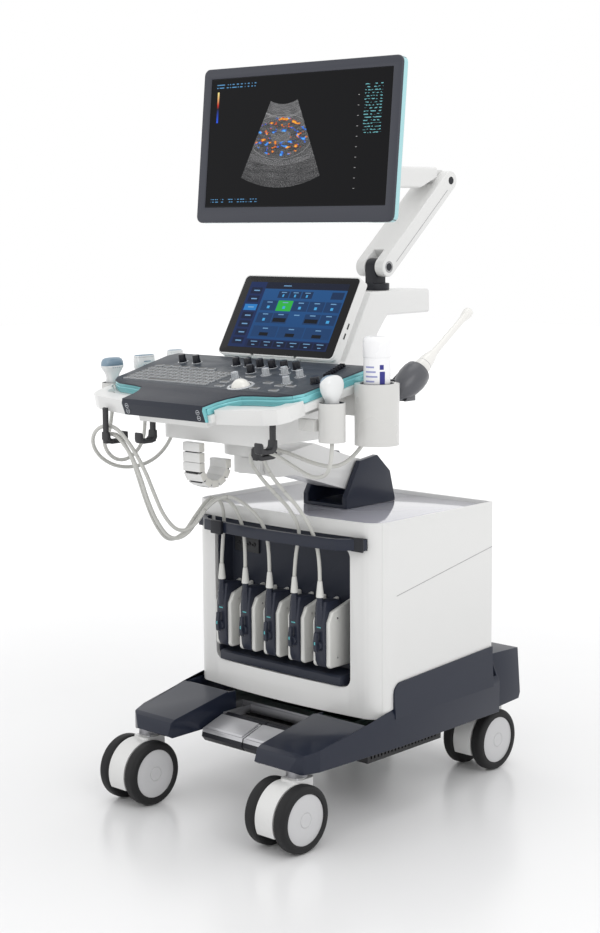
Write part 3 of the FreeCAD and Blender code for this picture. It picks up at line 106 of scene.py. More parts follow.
# ------------------------------------------------------------------ shading
class Wire:
    """A shader socket that takes part in sums: each operator adds the Math node it stands for."""

    def __init__(self, tree, socket):
        self.tree = tree
        self.socket = socket

    def add(self, kind, settings, values, output=0):
        """Any node: its settings first, then the values or wires of its sockets, by name or number."""
        node = self.tree.nodes.new(kind)
        stops = settings.pop("stops", None)
        for key, value in settings.items():
            setattr(node, key, value)
        if stops:
            while len(node.color_ramp.elements) < len(stops):
                node.color_ramp.elements.new(0.5)
            for element, (place, colour) in zip(node.color_ramp.elements, stops):
                element.position = place
                element.color = colour if len(colour) == 4 else (*colour, 1)
        for key, value in values.items():
            if isinstance(value, Wire):
                self.tree.links.new(value.socket, node.inputs[key])
            elif value is not None:
                if isinstance(value, tuple) and len(value) == 3 and node.inputs[key].type == "RGBA":
                    value = (*value, 1)
                node.inputs[key].default_value = value
        return Wire(self.tree, node.outputs[output])

    def sum(self, operation, *values):
        return self.add("ShaderNodeMath", {"operation": operation}, dict(enumerate(values)))

    def __add__(self, other):
        return self.sum("ADD", self, other)

    __radd__ = __add__

    def __sub__(self, other):
        return self.sum("SUBTRACT", self, other)

    def __rsub__(self, other):
        return self.sum("SUBTRACT", other, self)

    def __mul__(self, other):
        return self.sum("MULTIPLY", self, other)

    __rmul__ = __mul__

    def __truediv__(self, other):
        return self.sum("DIVIDE", self, other)

    def __gt__(self, other):
        return self.sum("GREATER_THAN", self, other)

    def __lt__(self, other):
        return self.sum("LESS_THAN", self, other)

    def mod(self, other):
        return self.sum("FLOORED_MODULO", self, other)

    def size(self):
        return self.sum("ABSOLUTE", self)

    def between(self, low, high):
        return (self > low) * (self < high)

    def mix(self, a, b):
        """From colour a to colour b as this value goes from 0 to 1."""
        return self.add("ShaderNodeMix", {"data_type": "RGBA"}, {"Factor": self, 6: a, 7: b}, 2)


class Finish:
    """A material under construction: one Principled shader and a starting wire for its textures."""

    def __init__(self, name, **constants):
        self.material = bpy.data.materials.new(name)
        self.material.use_nodes = True
        self.tree = self.material.node_tree
        self.shader = self.tree.nodes["Principled BSDF"]
        self.start = Wire(self.tree, None)
        for key, value in constants.items():
            self.shader.inputs[key.replace("_", " ")].default_value = value

    def place(self, source="Object"):
        """The point on the piece, in metres, as a vector and as its three parts."""
        spot = self.start.add("ShaderNodeTexCoord", {}, {}, source)
        parts = self.start.add("ShaderNodeSeparateXYZ", {}, {0: spot}).socket.node
        return spot, *(Wire(self.tree, out) for out in parts.outputs)

    def noise(self, scale, detail=2, spot=None):
        spot = spot or self.place()[0]
        return self.start.add("ShaderNodeTexNoise", {}, {"Vector": spot, "Scale": scale, "Detail": detail}, 0)

    def set(self, **wires):
        for key, wire in wires.items():
            self.tree.links.new(wire.socket, self.shader.inputs[key.replace("_", " ")])
        return self.material

    def bump(self, height, depth, strength=1.0):
        return self.start.add("ShaderNodeBump", {}, {"Height": height, "Distance": depth, "Strength": strength})


def moulded(name, colour, roughness, coat=0.0, grain=0.0, metallic=0.0, drift=0.05, gloss=0.5):
    """A moulded or painted finish: a slow drift of shade and gloss, and an optional fine grain."""
    finish = Finish(name, Coat_Weight=coat, Metallic=metallic, Coat_Roughness=0.06, Specular_IOR_Level=gloss)
    spot = finish.place()[0]
    cloud = finish.noise(9, 3, spot)
    shade = cloud.mix(tuple(c * (1 - drift) for c in colour), tuple(min(1, c * (1 + drift / 2)) for c in colour))
    finish.set(Base_Color=shade, Roughness=cloud * 0.10 + (roughness - 0.05))
    if grain:
        finish.set(Normal=finish.bump(finish.noise(2600, 1, spot), grain))
    return finish.material


# The pale floor that the machine stands on. Its emission is painted light: none within about a metre of the middle,
# rising to 0.30 at 3.6 m, so that the far floor fades into the white world.
FLOOR_SIZE = 30
bm = bmesh.new()
bmesh.ops.create_grid(bm, x_segments=1, y_segments=1, size=FLOOR_SIZE / 2)
floor_mesh = bpy.data.meshes.new("floor")
bm.to_mesh(floor_mesh)
bm.free()
floor = bpy.data.objects.new("floor", floor_mesh)
bpy.context.scene.collection.objects.link(floor)
floor_finish = Finish("pale_floor", Emission_Strength=1.0, Base_Color=(0.86, 0.86, 0.865, 1))
_, x, y, _ = floor_finish.place("Object")
# painted light: the floor glows more the further it lies from the middle
distance = (x * x + y * y) * 0.085 - 0.10
painted_far_light = floor_finish.start.sum("MINIMUM", floor_finish.start.sum("MAXIMUM", distance, 0.0), 1.0)
floor_finish.set(Roughness=floor_finish.noise(3) * 0.08 + 0.20, Emission_Color=painted_far_light.mix((0, 0, 0), (0.30, 0.30, 0.30)))
floor_mesh.materials.append(floor_finish.material)


# ------------------------------------------------------------------ making pieces
def piece(name, bm, material, body, stands_for=(), smooth=40):
    """Turns a bmesh into a finished piece that rides on a body and takes the finishes it is given."""
    for face in bm.faces:
        face.smooth = True
    for edge in bm.edges:
        edge.smooth = len(edge.link_faces) == 2 and edge.calc_face_angle(0) < math.radians(smooth)
    mesh = bpy.data.meshes.new(name)
    bm.to_mesh(mesh)
    bm.free()
    made = bpy.data.objects.new(name, mesh)
    for finish in material if isinstance(material, (list, tuple)) else [material]:
        mesh.materials.append(finish)
    bpy.context.scene.collection.objects.link(made)
    if body:
        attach(made, body)
    if stands_for:
        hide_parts(*stands_for)
    return made


def merged(node):
    """A CAD node's shape as one closed surface with its flat faces whole."""
    bm = bmesh.new()
    bm.from_mesh(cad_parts[node].data)
    bmesh.ops.remove_doubles(bm, verts=bm.verts, dist=2e-5)
    bmesh.ops.dissolve_limit(bm, angle_limit=math.radians(0.5), verts=bm.verts, edges=bm.edges)
    return bm


def ease(bm, radius, segments=3, angle=28, keep=None):
    """Rounds every edge sharper than that angle."""
    picked = [e for e in bm.edges if len(e.link_faces) == 2 and e.calc_face_angle(0) > math.radians(angle)
              and (keep is None or keep(e))]
    bmesh.ops.bevel(bm, geom=picked, offset=radius, offset_type="OFFSET", segments=segments, profile=0.5,
                    affect="EDGES", clamp_overlap=True, material=-1)
    return bm


def softened(node, material, body, radius=0.0015, segments=3, angle=28, smooth=40):
    """A CAD node with its sharp edges rounded, as moulded plastic has them."""
    bm = ease(merged(node), radius, segments, angle)
    return piece(node + "_skin", bm, material, body, (node,), smooth)


# ------------------------------------------------------------------ casters
# Four twin-wheel casters: soft black tyres with round shoulders on pale moulded hub discs, either
# side of a white moulded hood. The hood's stem goes up into a steel plate under the base.
WHEEL_R = 0.074
WHEEL_HALF_W = 0.016
HUB_R = 0.0556
SHOULDER_R = 0.010
CASTERS = {"front_left": (-0.233, -0.330), "front_right": (0.233, -0.330),
           "rear_left": (-0.197, 0.398), "rear_right": (0.197, 0.398)}

shell_white = moulded("shell_white", (0.708, 0.708, 0.699), 0.30, coat=0.25, drift=0.015)
tyre_black = moulded("tyre_black", (0.015, 0.015, 0.016), 0.55, grain=0.00012, gloss=0.25)
hub_grey = moulded("hub_grey", (0.558, 0.558, 0.567), 0.34, coat=0.15, drift=0.02)


def arc(centre, radius, start, stop, steps):
    """Points of a circular arc, in degrees."""
    turns = [math.radians(start + (stop - start) * i / steps) for i in range(steps + 1)]
    return [(centre[0] + radius * math.cos(t), centre[1] + radius * math.sin(t)) for t in turns]


def turned(bm, profile, centre, along, steps=64, closed=True):
    """Spins a profile of (along the axis, distance from it) points about an axis through centre."""
    axis = Vector(along).normalized()
    out = axis.orthogonal().normalized()
    verts = [bm.verts.new(Vector(centre) + axis * a + out * r) for a, r in profile]
    pairs = list(zip(verts, verts[1:] + verts[:1])) if closed else list(zip(verts, verts[1:]))
    edges = [bm.edges.new(pair) for pair in pairs]
    made = bmesh.ops.spin(bm, geom=verts + edges, cent=Vector(centre), axis=axis, angle=2 * math.pi,
                          steps=steps, use_merge=True)
    axis_verts = [v for v in bm.verts if v.is_valid]
    bmesh.ops.remove_doubles(bm, verts=axis_verts, dist=1e-6)
    return made


def outward(bm):
    bmesh.ops.recalc_face_normals(bm, faces=bm.faces)
    return bm


def wheel(bm, centre, side):
    """One tyre on its disc; side is +1 or -1 towards the disc's outer face."""
    shoulder = WHEEL_HALF_W - SHOULDER_R
    tyre = [(-WHEEL_HALF_W, 0.050)] + arc((-shoulder, WHEEL_R - SHOULDER_R), SHOULDER_R, 180, 90, 6)
    tyre += arc((shoulder, WHEEL_R - SHOULDER_R), SHOULDER_R, 90, 0, 6)
    tyre += [(WHEEL_HALF_W, HUB_R + 0.0022), (WHEEL_HALF_W - 0.0022, HUB_R), (WHEEL_HALF_W - 0.006, HUB_R),
             (WHEEL_HALF_W - 0.006, 0.050)]
    turned(bm, tyre, centre, (side, 0, 0))
    before = set(bm.faces)
    face = WHEEL_HALF_W - 0.0024
    disc = [(face - 0.004, HUB_R - 0.0002), (face - 0.0006, HUB_R - 0.0004), (face, HUB_R - 0.0016),
            (face + 0.0006, 0.030), (face + 0.0006, 0.0174), (face - 0.0004, 0.0168), (face - 0.0004, 0.0160),
            (face + 0.0010, 0.0152), (face + 0.0013, 0.0), (face - 0.004, 0.0)]
    turned(bm, disc, centre, (side, 0, 0))
    for face in set(bm.faces) - before:
        face.material_index = 1


for corner, (x, y) in CASTERS.items():
    axle = Vector((x, y - 0.034, WHEEL_R))
    bm = bmesh.new()
    for side in (-1, 1):
        wheel(bm, axle + Vector((side * 0.042, 0, 0)), side)
    turned(bm, [(-0.036, 0), (-0.036, 0.006), (0.036, 0.006), (0.036, 0)], axle, (1, 0, 0), 24)
    piece(f"wheels_{corner}", outward(bm), [tyre_black, hub_grey], f"wheels_{corner}",
          (f"caster_wheels_{corner}",))

    # the hood: rounded over the wheels
    bm = ease(merged(f"caster_hood_{corner}"), 0.0045, 4)
    piece(f"hood_{corner}", bm, shell_white, f"caster_{corner}", (f"caster_hood_{corner}",))
    bm = bmesh.new()
    bolts = [(sx * 0.014, sy * 0.014) for sx in (-1, 1) for sy in (-1, 1)]
    for dx, dy in bolts:
        bmesh.ops.create_cone(bm, cap_ends=True, segments=6, radius1=0.0042, radius2=0.0040, depth=0.0045,
                              matrix=Matrix.Translation((x + dx, y + dy, 0.1496)))
    piece(f"stem_bolts_{corner}", ease(bm, 0.0004, 1), moulded(f"bolt_steel_{corner}", (0.55, 0.55, 0.57), 0.3,
          metallic=1.0), f"caster_{corner}")


# ------------------------------------------------------------------ base
# Two navy mouldings over a welded steel frame, chamfered and satin; a navy bumper behind; a black
# slotted vent box underneath; two aluminium-faced pedals between the front legs.
base_navy = moulded("base_navy", (0.014, 0.018, 0.033), 0.30, coat=0.16, drift=0.06, gloss=0.25)
frame_steel = moulded("frame_steel", (0.34, 0.34, 0.36), 0.42, metallic=0.85)
vent_black = moulded("vent_black", (0.018, 0.018, 0.020), 0.55, grain=0.00008)
tread_silver = moulded("tread_silver", (0.56, 0.56, 0.58), 0.33, metallic=0.55, drift=0.04)
pedal_black = moulded("pedal_black", (0.014, 0.015, 0.020), 0.42, gloss=0.3)

for side in ("left", "right"):
    softened(f"base_cover_{side}", base_navy, "base", 0.005, 4, 12, 50)
softened("rear_bumper", base_navy, "base", 0.003, 3, 12)
softened("chassis_frame", frame_steel, "base", 0.0006, 2)
softened("base_vent", vent_black, "base", 0.0005, 1)

# the upper edge of each side moulding, which laps over the foot of the cabinet's side
LAP_FRONT, LAP_REAR, LAP_LOW, LAP_CORNER = -0.072, 0.2915, 0.229, 0.024
LAP_INNER_X, LAP_TOP_X, LAP_FOOT_X = 0.2852, 0.2884, 0.2926
COLUMNS, ROWS = 36, 6
bm = bmesh.new()
for side in (-1, 1):
    shells = ([], [])
    for i in range(COLUMNS + 1):
        along = (i / COLUMNS) ** 1.6
        y = LAP_FRONT + (LAP_REAR - LAP_FRONT) * along
        short = max(0, LAP_FRONT + LAP_CORNER - y)
        crest = 0.284 + math.sqrt(LAP_CORNER ** 2 - short ** 2) + 0.018 * along
        for shell in shells:
            shell.append([])
        for j in range(ROWS + 1):
            z = LAP_LOW + (crest - LAP_LOW) * j / ROWS
            flare = min(1, max(0, (0.296 - z) / 0.058))
            shells[0][-1].append(bm.verts.new((side * LAP_INNER_X, y, z)))
            shells[1][-1].append(bm.verts.new((side * (LAP_TOP_X + (LAP_FOOT_X - LAP_TOP_X) * flare), y, z)))
    inner, outer = shells
    for i in range(COLUMNS):
        for j in range(ROWS):
            for shell in shells:
                bm.faces.new((shell[i][j], shell[i + 1][j], shell[i + 1][j + 1], shell[i][j + 1]))
        for j in (0, ROWS):
            bm.faces.new((inner[i][j], inner[i + 1][j], outer[i + 1][j], outer[i][j]))
    for j in range(ROWS):
        for i in (0, COLUMNS):
            bm.faces.new((inner[i][j], inner[i][j + 1], outer[i][j + 1], outer[i][j]))
piece("base_side_laps", outward(bm), base_navy, "base")

PEDAL_PLATE_Z = 0.160
for name in ("brake", "lock"):
    node = f"{name}_pedal"
    bm = merged(node)
    ease(bm, 0.0022, 3, 20)
    bmesh.ops.bisect_plane(bm, geom=bm.verts[:] + bm.edges[:] + bm.faces[:], dist=1e-6,
                           plane_co=(0, 0, PEDAL_PLATE_Z), plane_no=(0, 0, 1))
    for face in bm.faces:
        spot = face.calc_center_median()
        face.material_index = 1 if spot.z > PEDAL_PLATE_Z and spot.y < -0.195 else 0
    piece(f"{name}_pedal_skin", bm, [pedal_black, tread_silver], node, (node,))


# ------------------------------------------------------------------ cabinet
# A white painted wrap round the electronics, with a moulded front whose mouth shows the probe
# sockets. A glossy pale lavender deck lies in its rim; the rear panel is black and louvred.
deck_lavender = moulded("deck_lavender", (0.50, 0.50, 0.56), 0.10, coat=0.9, drift=0.02)
recess_navy = moulded("recess_navy", (0.022, 0.026, 0.040), 0.40, gloss=0.3)
panel_black = moulded("panel_black", (0.026, 0.027, 0.030), 0.48, grain=0.00008)
board_green = moulded("board_green", (0.03, 0.16, 0.08), 0.45)
seam_grey = moulded("seam_grey", (0.30, 0.30, 0.31), 0.5)

softened("cabinet_shell", shell_white, "base", 0.0016, 3)
softened("cabinet_front", shell_white, "base", 0.0016, 3)
softened("top_deck", deck_lavender, "base", 0.0012, 3)
softened("port_recess", recess_navy, "base", 0.0010, 2)
softened("electronics_rack", board_green, "base", 0.0006, 2)
softened("rear_panel", panel_black, "base", 0.0006, 2)

# the slanting panel line on each side of the cabinet
bm = bmesh.new()
for side in (-1, 1):
    low, high = Vector((side * 0.28515, -0.060, 0.505)), Vector((side * 0.28515, 0.291, 0.566))
    run = high - low
    turn = Matrix.Rotation(math.atan2(run.z, run.y), 4, "X")
    bmesh.ops.create_cube(bm, size=1, matrix=Matrix.Translation((low + high) / 2) @ turn @
                          Matrix.Diagonal((0.0007, run.length, 0.0011, 1)))
piece("cabinet_panel_lines", bm, seam_grey, "base")

# the bar across the front that the cables are tucked behind, with its two clips
softened("cable_bar", base_navy, "base", 0.0022, 3, 20)
bm = bmesh.new()
for x in (-0.150, 0.242):
    depth = 0.010 if x < 0 else 0.006
    y = -0.1845 if x < 0 else -0.1425
    bmesh.ops.create_cube(bm, size=1, matrix=Matrix.Translation((x, y, 0.626)) @
                          Matrix.Diagonal((0.034, depth, 0.031, 1)))
piece("bar_clips", ease(bm, 0.0022, 3), pedal_black, "base")

# a navy strip behind the front that closes the gap over the recess
bm = bmesh.new()
bmesh.ops.create_cube(bm, size=1, matrix=Matrix.Translation((0, -0.124, 0.632)) @
                      Matrix.Diagonal((0.430, 0.002, 0.046, 1)))
piece("recess_brow", bm, recess_navy, "base")

# a small socket panel high on the left of the recess
bm = bmesh.new()
bmesh.ops.create_cube(bm, size=1, matrix=Matrix.Translation((-0.155, -0.0795, 0.572)) @
                      Matrix.Diagonal((0.078, 0.005, 0.040, 1)))
ease(bm, 0.0016, 2)
for i in range(4):
    turned(bm, [(0, 0.0034), (0.003, 0.0034), (0.003, 0.0052), (0, 0.0052)],
           (-0.180 + i * 0.0165, -0.082, 0.572), (0, -1, 0), 24)
piece("socket_panel", outward(bm), panel_black, "base")


# ------------------------------------------------------------------ probe plugs
# Tall white plugs in a row, each with a dark moulded face, a turning lever with a teal mark,
# two small screws on the side, a ribbed collar and a pale cone that eases the cable out.
PLUG_X = [-0.162 + i * 0.077 for i in range(5)]
PLUG_FOOT_Z = 0.338
PLUG_FACE_Y = -0.165
PLUG_REAR_Y = -0.0762
plug_white = moulded("plug_white", (0.681, 0.681, 0.653), 0.36, coat=0.15)
plug_dark = moulded("plug_dark", (0.022, 0.026, 0.042), 0.36, coat=0.1, gloss=0.3)
boot_white = moulded("boot_white", (0.662, 0.662, 0.635), 0.42)
mark_teal = moulded("mark_teal", (0.10, 0.45, 0.48), 0.4)
screw_steel = moulded("screw_steel", (0.6, 0.6, 0.6), 0.28, metallic=1.0)


def side_slab(bm, outline, x0, x1):
    """A plate with a side outline of (y, z) points between x0 and x1; returns its faces."""
    before = set(bm.faces)
    face = bm.faces.new([bm.verts.new((x0, y, z)) for y, z in outline])
    made = bmesh.ops.extrude_face_region(bm, geom=[face])
    moved = [v for v in made["geom"] if isinstance(v, bmesh.types.BMVert)]
    bmesh.ops.translate(bm, verts=moved, vec=(x1 - x0, 0, 0))
    return [f for f in bm.faces if f not in before]


def brick(bm, x0, x1, y0, y1, z0, z1, material=0):
    """A block between two corners."""
    made = bmesh.ops.create_cube(bm, size=1, matrix=Matrix.Translation(((x0 + x1) / 2, (y0 + y1) / 2,
                                 (z0 + z1) / 2)) @ Matrix.Diagonal((x1 - x0, y1 - y0, z1 - z0, 1)))
    for v in made["verts"]:
        for face in v.link_faces:
            face.material_index = material


bm_white, bm_dark, bm_marks = bmesh.new(), bmesh.new(), bmesh.new()
for x in PLUG_X:
    face_y = PLUG_FACE_Y + 0.0055
    # the two white half shells, a little apart round the dark middle
    for x0, x1 in ((x - 0.025, x - 0.0135), (x + 0.0135, x + 0.025)):
        side_slab(bm_white, [(face_y + 0.004, PLUG_FOOT_Z + 0.006), (face_y + 0.004, PLUG_FOOT_Z + 0.104),
                             (face_y + 0.016, PLUG_FOOT_Z + 0.128), (PLUG_REAR_Y, PLUG_FOOT_Z + 0.148),
                             (PLUG_REAR_Y, PLUG_FOOT_Z), (face_y + 0.010, PLUG_FOOT_Z)], x0, x1)
    side_slab(bm_dark, [(face_y, PLUG_FOOT_Z + 0.016), (face_y - 0.003, PLUG_FOOT_Z + 0.050),
                        (face_y - 0.003, PLUG_FOOT_Z + 0.104), (face_y + 0.001, PLUG_FOOT_Z + 0.136),
                        (face_y + 0.004, PLUG_FOOT_Z + 0.152), (PLUG_REAR_Y - 0.030, PLUG_FOOT_Z + 0.150),
                        (PLUG_REAR_Y - 0.002, PLUG_FOOT_Z + 0.004), (face_y + 0.006, PLUG_FOOT_Z + 0.002)],
              x - 0.0148, x + 0.0148)
ease(bm_white, 0.0040, 4, 20)
ease(bm_dark, 0.0030, 3, 20)
for x in PLUG_X:
    neck = [(0, 0), (0, 0.0096), (0.030, 0.0098)]
    neck += [(0.030 + 0.0042 * i + d, 0.0098 - 0.0004 * i - (0.0009 if d > 0.002 else 0))
             for i in range(6) for d in (0.0010, 0.0024, 0.0034)]
    neck += [(0.0615, 0.0078), (0.0615, 0)]
    turned(bm_dark, neck, (x, -0.158, PLUG_FOOT_Z + 0.100), (0, 0, 1), 32)
    # the lever: a round boss with a tapering finger
    turned(bm_dark, [(-0.004, 0), (-0.004, 0.0112), (0.0046, 0.0112), (0.0058, 0.0100), (0.0058, 0)],
           (x, PLUG_FACE_Y + 0.0010, PLUG_FOOT_Z + 0.052), (0, -1, 0), 32)
    grip = side_slab(bm_dark, [(-0.170, PLUG_FOOT_Z + 0.037), (-0.1758, PLUG_FOOT_Z + 0.041),
                               (-0.1768, PLUG_FOOT_Z + 0.060), (-0.1738, PLUG_FOOT_Z + 0.083),
                               (-0.168, PLUG_FOOT_Z + 0.084)], x - 0.0042, x + 0.0042)
    brick(bm_marks, x - 0.0017, x + 0.0017, -0.1774, -0.1752, PLUG_FOOT_Z + 0.0555, PLUG_FOOT_Z + 0.0625)
    brick(bm_marks, x - 0.0060, x + 0.0060, PLUG_FACE_Y + 0.0018, PLUG_FACE_Y + 0.0030, PLUG_FOOT_Z + 0.092,
          PLUG_FOOT_Z + 0.0945)
piece("plug_shells", outward(bm_white), plug_white, "base", ("probe_connectors",))
piece("plug_faces", outward(bm_dark), plug_dark, "base")
piece("plug_marks", ease(bm_marks, 0.0004, 1), mark_teal, "base")
bm = bmesh.new()
for x in PLUG_X:
    cone = [(0, 0), (0, 0.0086), (0.003, 0.0088), (0.0335, 0.0056), (0.0365, 0.0050), (0.0365, 0)]
    turned(bm, cone, (x, -0.158, PLUG_FOOT_Z + 0.161), (0, 0, 1), 32)
piece("cable_boots", outward(bm), boot_white, "base")
bm = bmesh.new()
for x in PLUG_X:
    for z in (PLUG_FOOT_Z + 0.022, PLUG_FOOT_Z + 0.112):
        turned(bm, [(0, 0), (0, 0.0024), (0.0006, 0.0022), (0.0006, 0.0008), (0.0002, 0.0006), (0.0002, 0)],
               (x + 0.0250, -0.128, z), (1, 0, 0), 16)
piece("plug_screws", outward(bm), screw_steel, "base")


# ------------------------------------------------------------------ lift
# A cast navy turret on the deck holds a white cast arm; the arm's fork carries a head with the
# bearing that the console turns in.
pin_steel = moulded("pin_steel", (0.5, 0.5, 0.52), 0.3, metallic=1.0)
softened("lift_turret", base_navy, "base", 0.006, 4, 12)
softened("lift_arm", shell_white, "lift_arm", 0.0045, 4, 12)
softened("arm_head", shell_white, "arm_head", 0.0030, 3)

# ------------------------------------------------------------------ console
# A moulded slate control deck over a teal-lacquered band and a white tray, with a darker padded
# palm rest in front and two white grips. It slopes down towards the operator.
CONSOLE_SLOPE = math.radians(12.2)
on_console = Matrix.Translation((0, -0.170, 1.019)) @ Matrix.Rotation(CONSOLE_SLOPE, 4, "X")

console_slate = moulded("console_slate", (0.042, 0.051, 0.064), 0.40, grain=0.00006, drift=0.08, gloss=0.3)
palm_dark = moulded("palm_dark", (0.024, 0.028, 0.040), 0.44, grain=0.00010, gloss=0.25)
trim_aqua = moulded("trim_aqua", (0.20, 0.56, 0.60), 0.22, coat=0.6, metallic=0.35, drift=0.06)
icon_grey = moulded("icon_grey", (0.55, 0.57, 0.60), 0.5)

off_console = on_console.inverted()
DECK_LIP = 0.0030
for node, finish, slot_name, radius in (("console_deck", console_slate, "console_slate", 0.0010),
                                        ("palm_rest", palm_dark, "palm_dark", 0.0040)):
    bm = merged(node)
    bmesh.ops.bisect_plane(bm, geom=bm.verts[:] + bm.edges[:] + bm.faces[:], dist=1e-6,
                           plane_co=on_console @ Vector((0, 0, -DECK_LIP)),
                           plane_no=on_console.to_3x3() @ Vector((0, 0, 1)))
    ease(bm, radius, 3, 28)
    for face in bm.faces:
        spot = off_console @ face.calc_center_median()
        facing = off_console.to_3x3() @ face.normal
        if node == "console_deck":
            edge_on = spot.z < -DECK_LIP and facing.z < 0.5 and abs(spot.x) > 0.27
        else:
            edge_on = spot.z < -DECK_LIP * 0.9 and abs(facing.z) < 0.5 and facing.y < 0.9 and abs(spot.x) > 0.1205
        face.material_index = 1 if edge_on else 0
    piece(node + "_lacquered", bm, [finish, trim_aqua], "console", (node,))
softened("console_trim", trim_aqua, "console", 0.0022, 3, 40)
softened("console_lower", shell_white, "console", 0.0030, 4, 25)
softened("console_handles", shell_white, "console", 0.0085, 5, 15)

# small generic signs in pairs at both ends of the palm rest's front face
bm = bmesh.new()
for x, z in ((x, z) for x in (-0.109, 0.109) for z in (-0.0140, -0.0265)):
    y = -0.3289 + (0.0014 if z < -0.02 else 0)
    turned(bm, [(0, 0.0044), (0.0005, 0.0044), (0.0005, 0.0052), (0, 0.0052)], (x, y + 0.0002, z), (0, -1, 0.0), 28)
    brick(bm, x - 0.0022, x + 0.0022, y - 0.0005, y + 0.0008, z - 0.0007, z + 0.0007)
bmesh.ops.transform(bm, matrix=on_console, verts=bm.verts)
piece("palm_signs", outward(bm), icon_grey, "console")

# ------------------------------------------------------------------ keys and knobs
# Spring keys with dark tops in bright rims, soft keys, fluted black knobs, clear faceted knobs,
# ribbed level sliders and an ivory ball in a translucent ring.
KEY_PITCH = 0.019
KEYS_LEFT = -0.251
KEYS_FRONT = -0.192
SPACE_COLUMNS = (4, 8)
SHORTCUTS = [(KEYS_LEFT + 0.004 + i * 0.028, KEYS_FRONT + 5 * KEY_PITCH + 0.001) for i in range(7)]
BUTTONS = [(0.048, -0.198), (0.036, -0.170), (0.148, -0.194), (0.206, -0.197), (0.193, -0.165),
           (0.223, -0.163), (0.150, -0.154), (0.070, -0.124)]
BLACK_KNOBS = [(-0.212, -0.055), (-0.167, -0.054), (0.041, -0.093)] + [(-0.044 + 0.0364 * i, -0.050)
                                                                       for i in range(6)]
CLEAR_KNOBS = [(0.041, -0.142), (0.095, -0.102), (0.134, -0.084), (0.194, -0.144), (0.190, -0.097)]
SLIDERS = [(0.256 - 0.0025 * i, -0.088 + 0.0105 * i) for i in range(8)]

key_rim = moulded("key_rim", (0.56, 0.58, 0.60), 0.26, metallic=0.35)
key_top = moulded("key_top", (0.095, 0.094, 0.092), 0.45)
knob_black = moulded("knob_black", (0.008, 0.009, 0.014), 0.28, coat=0.12, gloss=0.3)
ball_ivory = moulded("ball_ivory", (0.80, 0.79, 0.74), 0.12, coat=0.8, drift=0.02)
clear_finish = Finish("clear_plastic", Roughness=0.16, Transmission_Weight=0.55, IOR=1.45)
clear_plastic = clear_finish.set(Base_Color=clear_finish.noise(60).mix((0.74, 0.77, 0.80), (0.88, 0.90, 0.92)))


def key_cap(bm, x, y, half_x, half_y, foot, top):
    """A key: a bright skirt, a dark dished top drawn in a little, and a small mark."""
    made = bmesh.ops.create_cube(bm, size=1, matrix=Matrix.Translation((x, y, (foot + top) / 2)) @
                                 Matrix.Diagonal((2 * half_x, 2 * half_y, top - foot, 1)))
    roof = max({f for v in made["verts"] for f in v.link_faces}, key=lambda f: f.calc_center_median().z)
    bmesh.ops.inset_region(bm, faces=[roof], thickness=0.0014, depth=0.0003)
    roof.material_index = 1
    bmesh.ops.inset_region(bm, faces=[roof], thickness=0.0012, depth=-0.0003)


bm = bmesh.new()
marks = bmesh.new()
for row in range(5):
    for column in range(14):
        x, y = KEYS_LEFT + column * KEY_PITCH, KEYS_FRONT + row * KEY_PITCH
        if row == 0 and SPACE_COLUMNS[0] <= column <= SPACE_COLUMNS[1]:
            continue
        key_cap(bm, x, y, 0.0080, 0.0070, -0.003, 0.0022)
        brick(marks, x - 0.0040, x - 0.0016, y + 0.0006, y + 0.0030, 0.0020, 0.00235)
middle = KEYS_LEFT + sum(SPACE_COLUMNS) / 2 * KEY_PITCH
key_cap(bm, middle, KEYS_FRONT, 2.5 * KEY_PITCH - 0.0015, 0.0070, -0.003, 0.0022)
bmesh.ops.transform(bm, matrix=on_console, verts=bm.verts)
piece("keyboard", bm, [key_rim, key_top], "keyboard", ("keyboard_keys",), 30)
bmesh.ops.transform(marks, matrix=on_console, verts=marks.verts)
piece("key_marks", marks, icon_grey, "keyboard")
bm = bmesh.new()
for x, y in SHORTCUTS + BUTTONS:
    key_cap(bm, x, y, 0.011, 0.0055, -0.003, 0.0022)
bmesh.ops.transform(bm, matrix=on_console, verts=bm.verts)
piece("buttons", bm, [key_rim, key_top], "buttons", ("soft_buttons",), 30)


def fluted(bm, x, y, radius, foot, top, flutes=12, depth=0.0007):
    """A knob with grooves down its side and an eased top."""
    profile = [(foot, 0), (foot, radius), (foot + 0.002, radius), (foot + 0.0026, radius - 0.0008),
               (top - 0.0016, radius - 0.0012), (top - 0.0004, radius - 0.0020), (top, radius - 0.0034), (top, 0)]
    before = set(bm.verts)
    turned(bm, profile, (x, y, 0), (0, 0, 1), flutes * 4)
    for v in set(bm.verts) - before:
        spot = Vector((v.co.x - x, v.co.y - y))
        if spot.length > radius * 0.8 and v.co.z > foot + 0.0022:
            turn = math.atan2(spot.y, spot.x) * flutes
            v.co.xy = Vector((x, y)) + spot * (1 - depth / radius * (1 + math.cos(turn)) / 2)


bm = bmesh.new()
for x, y in BLACK_KNOBS:
    fluted(bm, x, y, 0.0095, -0.003, 0.018)
bmesh.ops.transform(bm, matrix=on_console, verts=bm.verts)
piece("black_knobs", outward(bm), knob_black, "encoders", ("encoder_knobs",))
bm = bmesh.new()
for x, y in CLEAR_KNOBS:
    fluted(bm, x, y, 0.0095, -0.003, 0.0155, 8, 0.0016)
bmesh.ops.transform(bm, matrix=on_console, verts=bm.verts)
piece("clear_knobs", outward(bm), clear_plastic, "encoders")
bm = bmesh.new()
for x, y in BLACK_KNOBS + CLEAR_KNOBS:
    turned(bm, [(0.0001, 0.0104), (0.0006, 0.0104), (0.0006, 0.0120), (0.0001, 0.0124)], (x, y, 0), (0, 0, 1), 40)
bmesh.ops.transform(bm, matrix=on_console, verts=bm.verts)
piece("knob_rings", outward(bm), key_rim, "console")

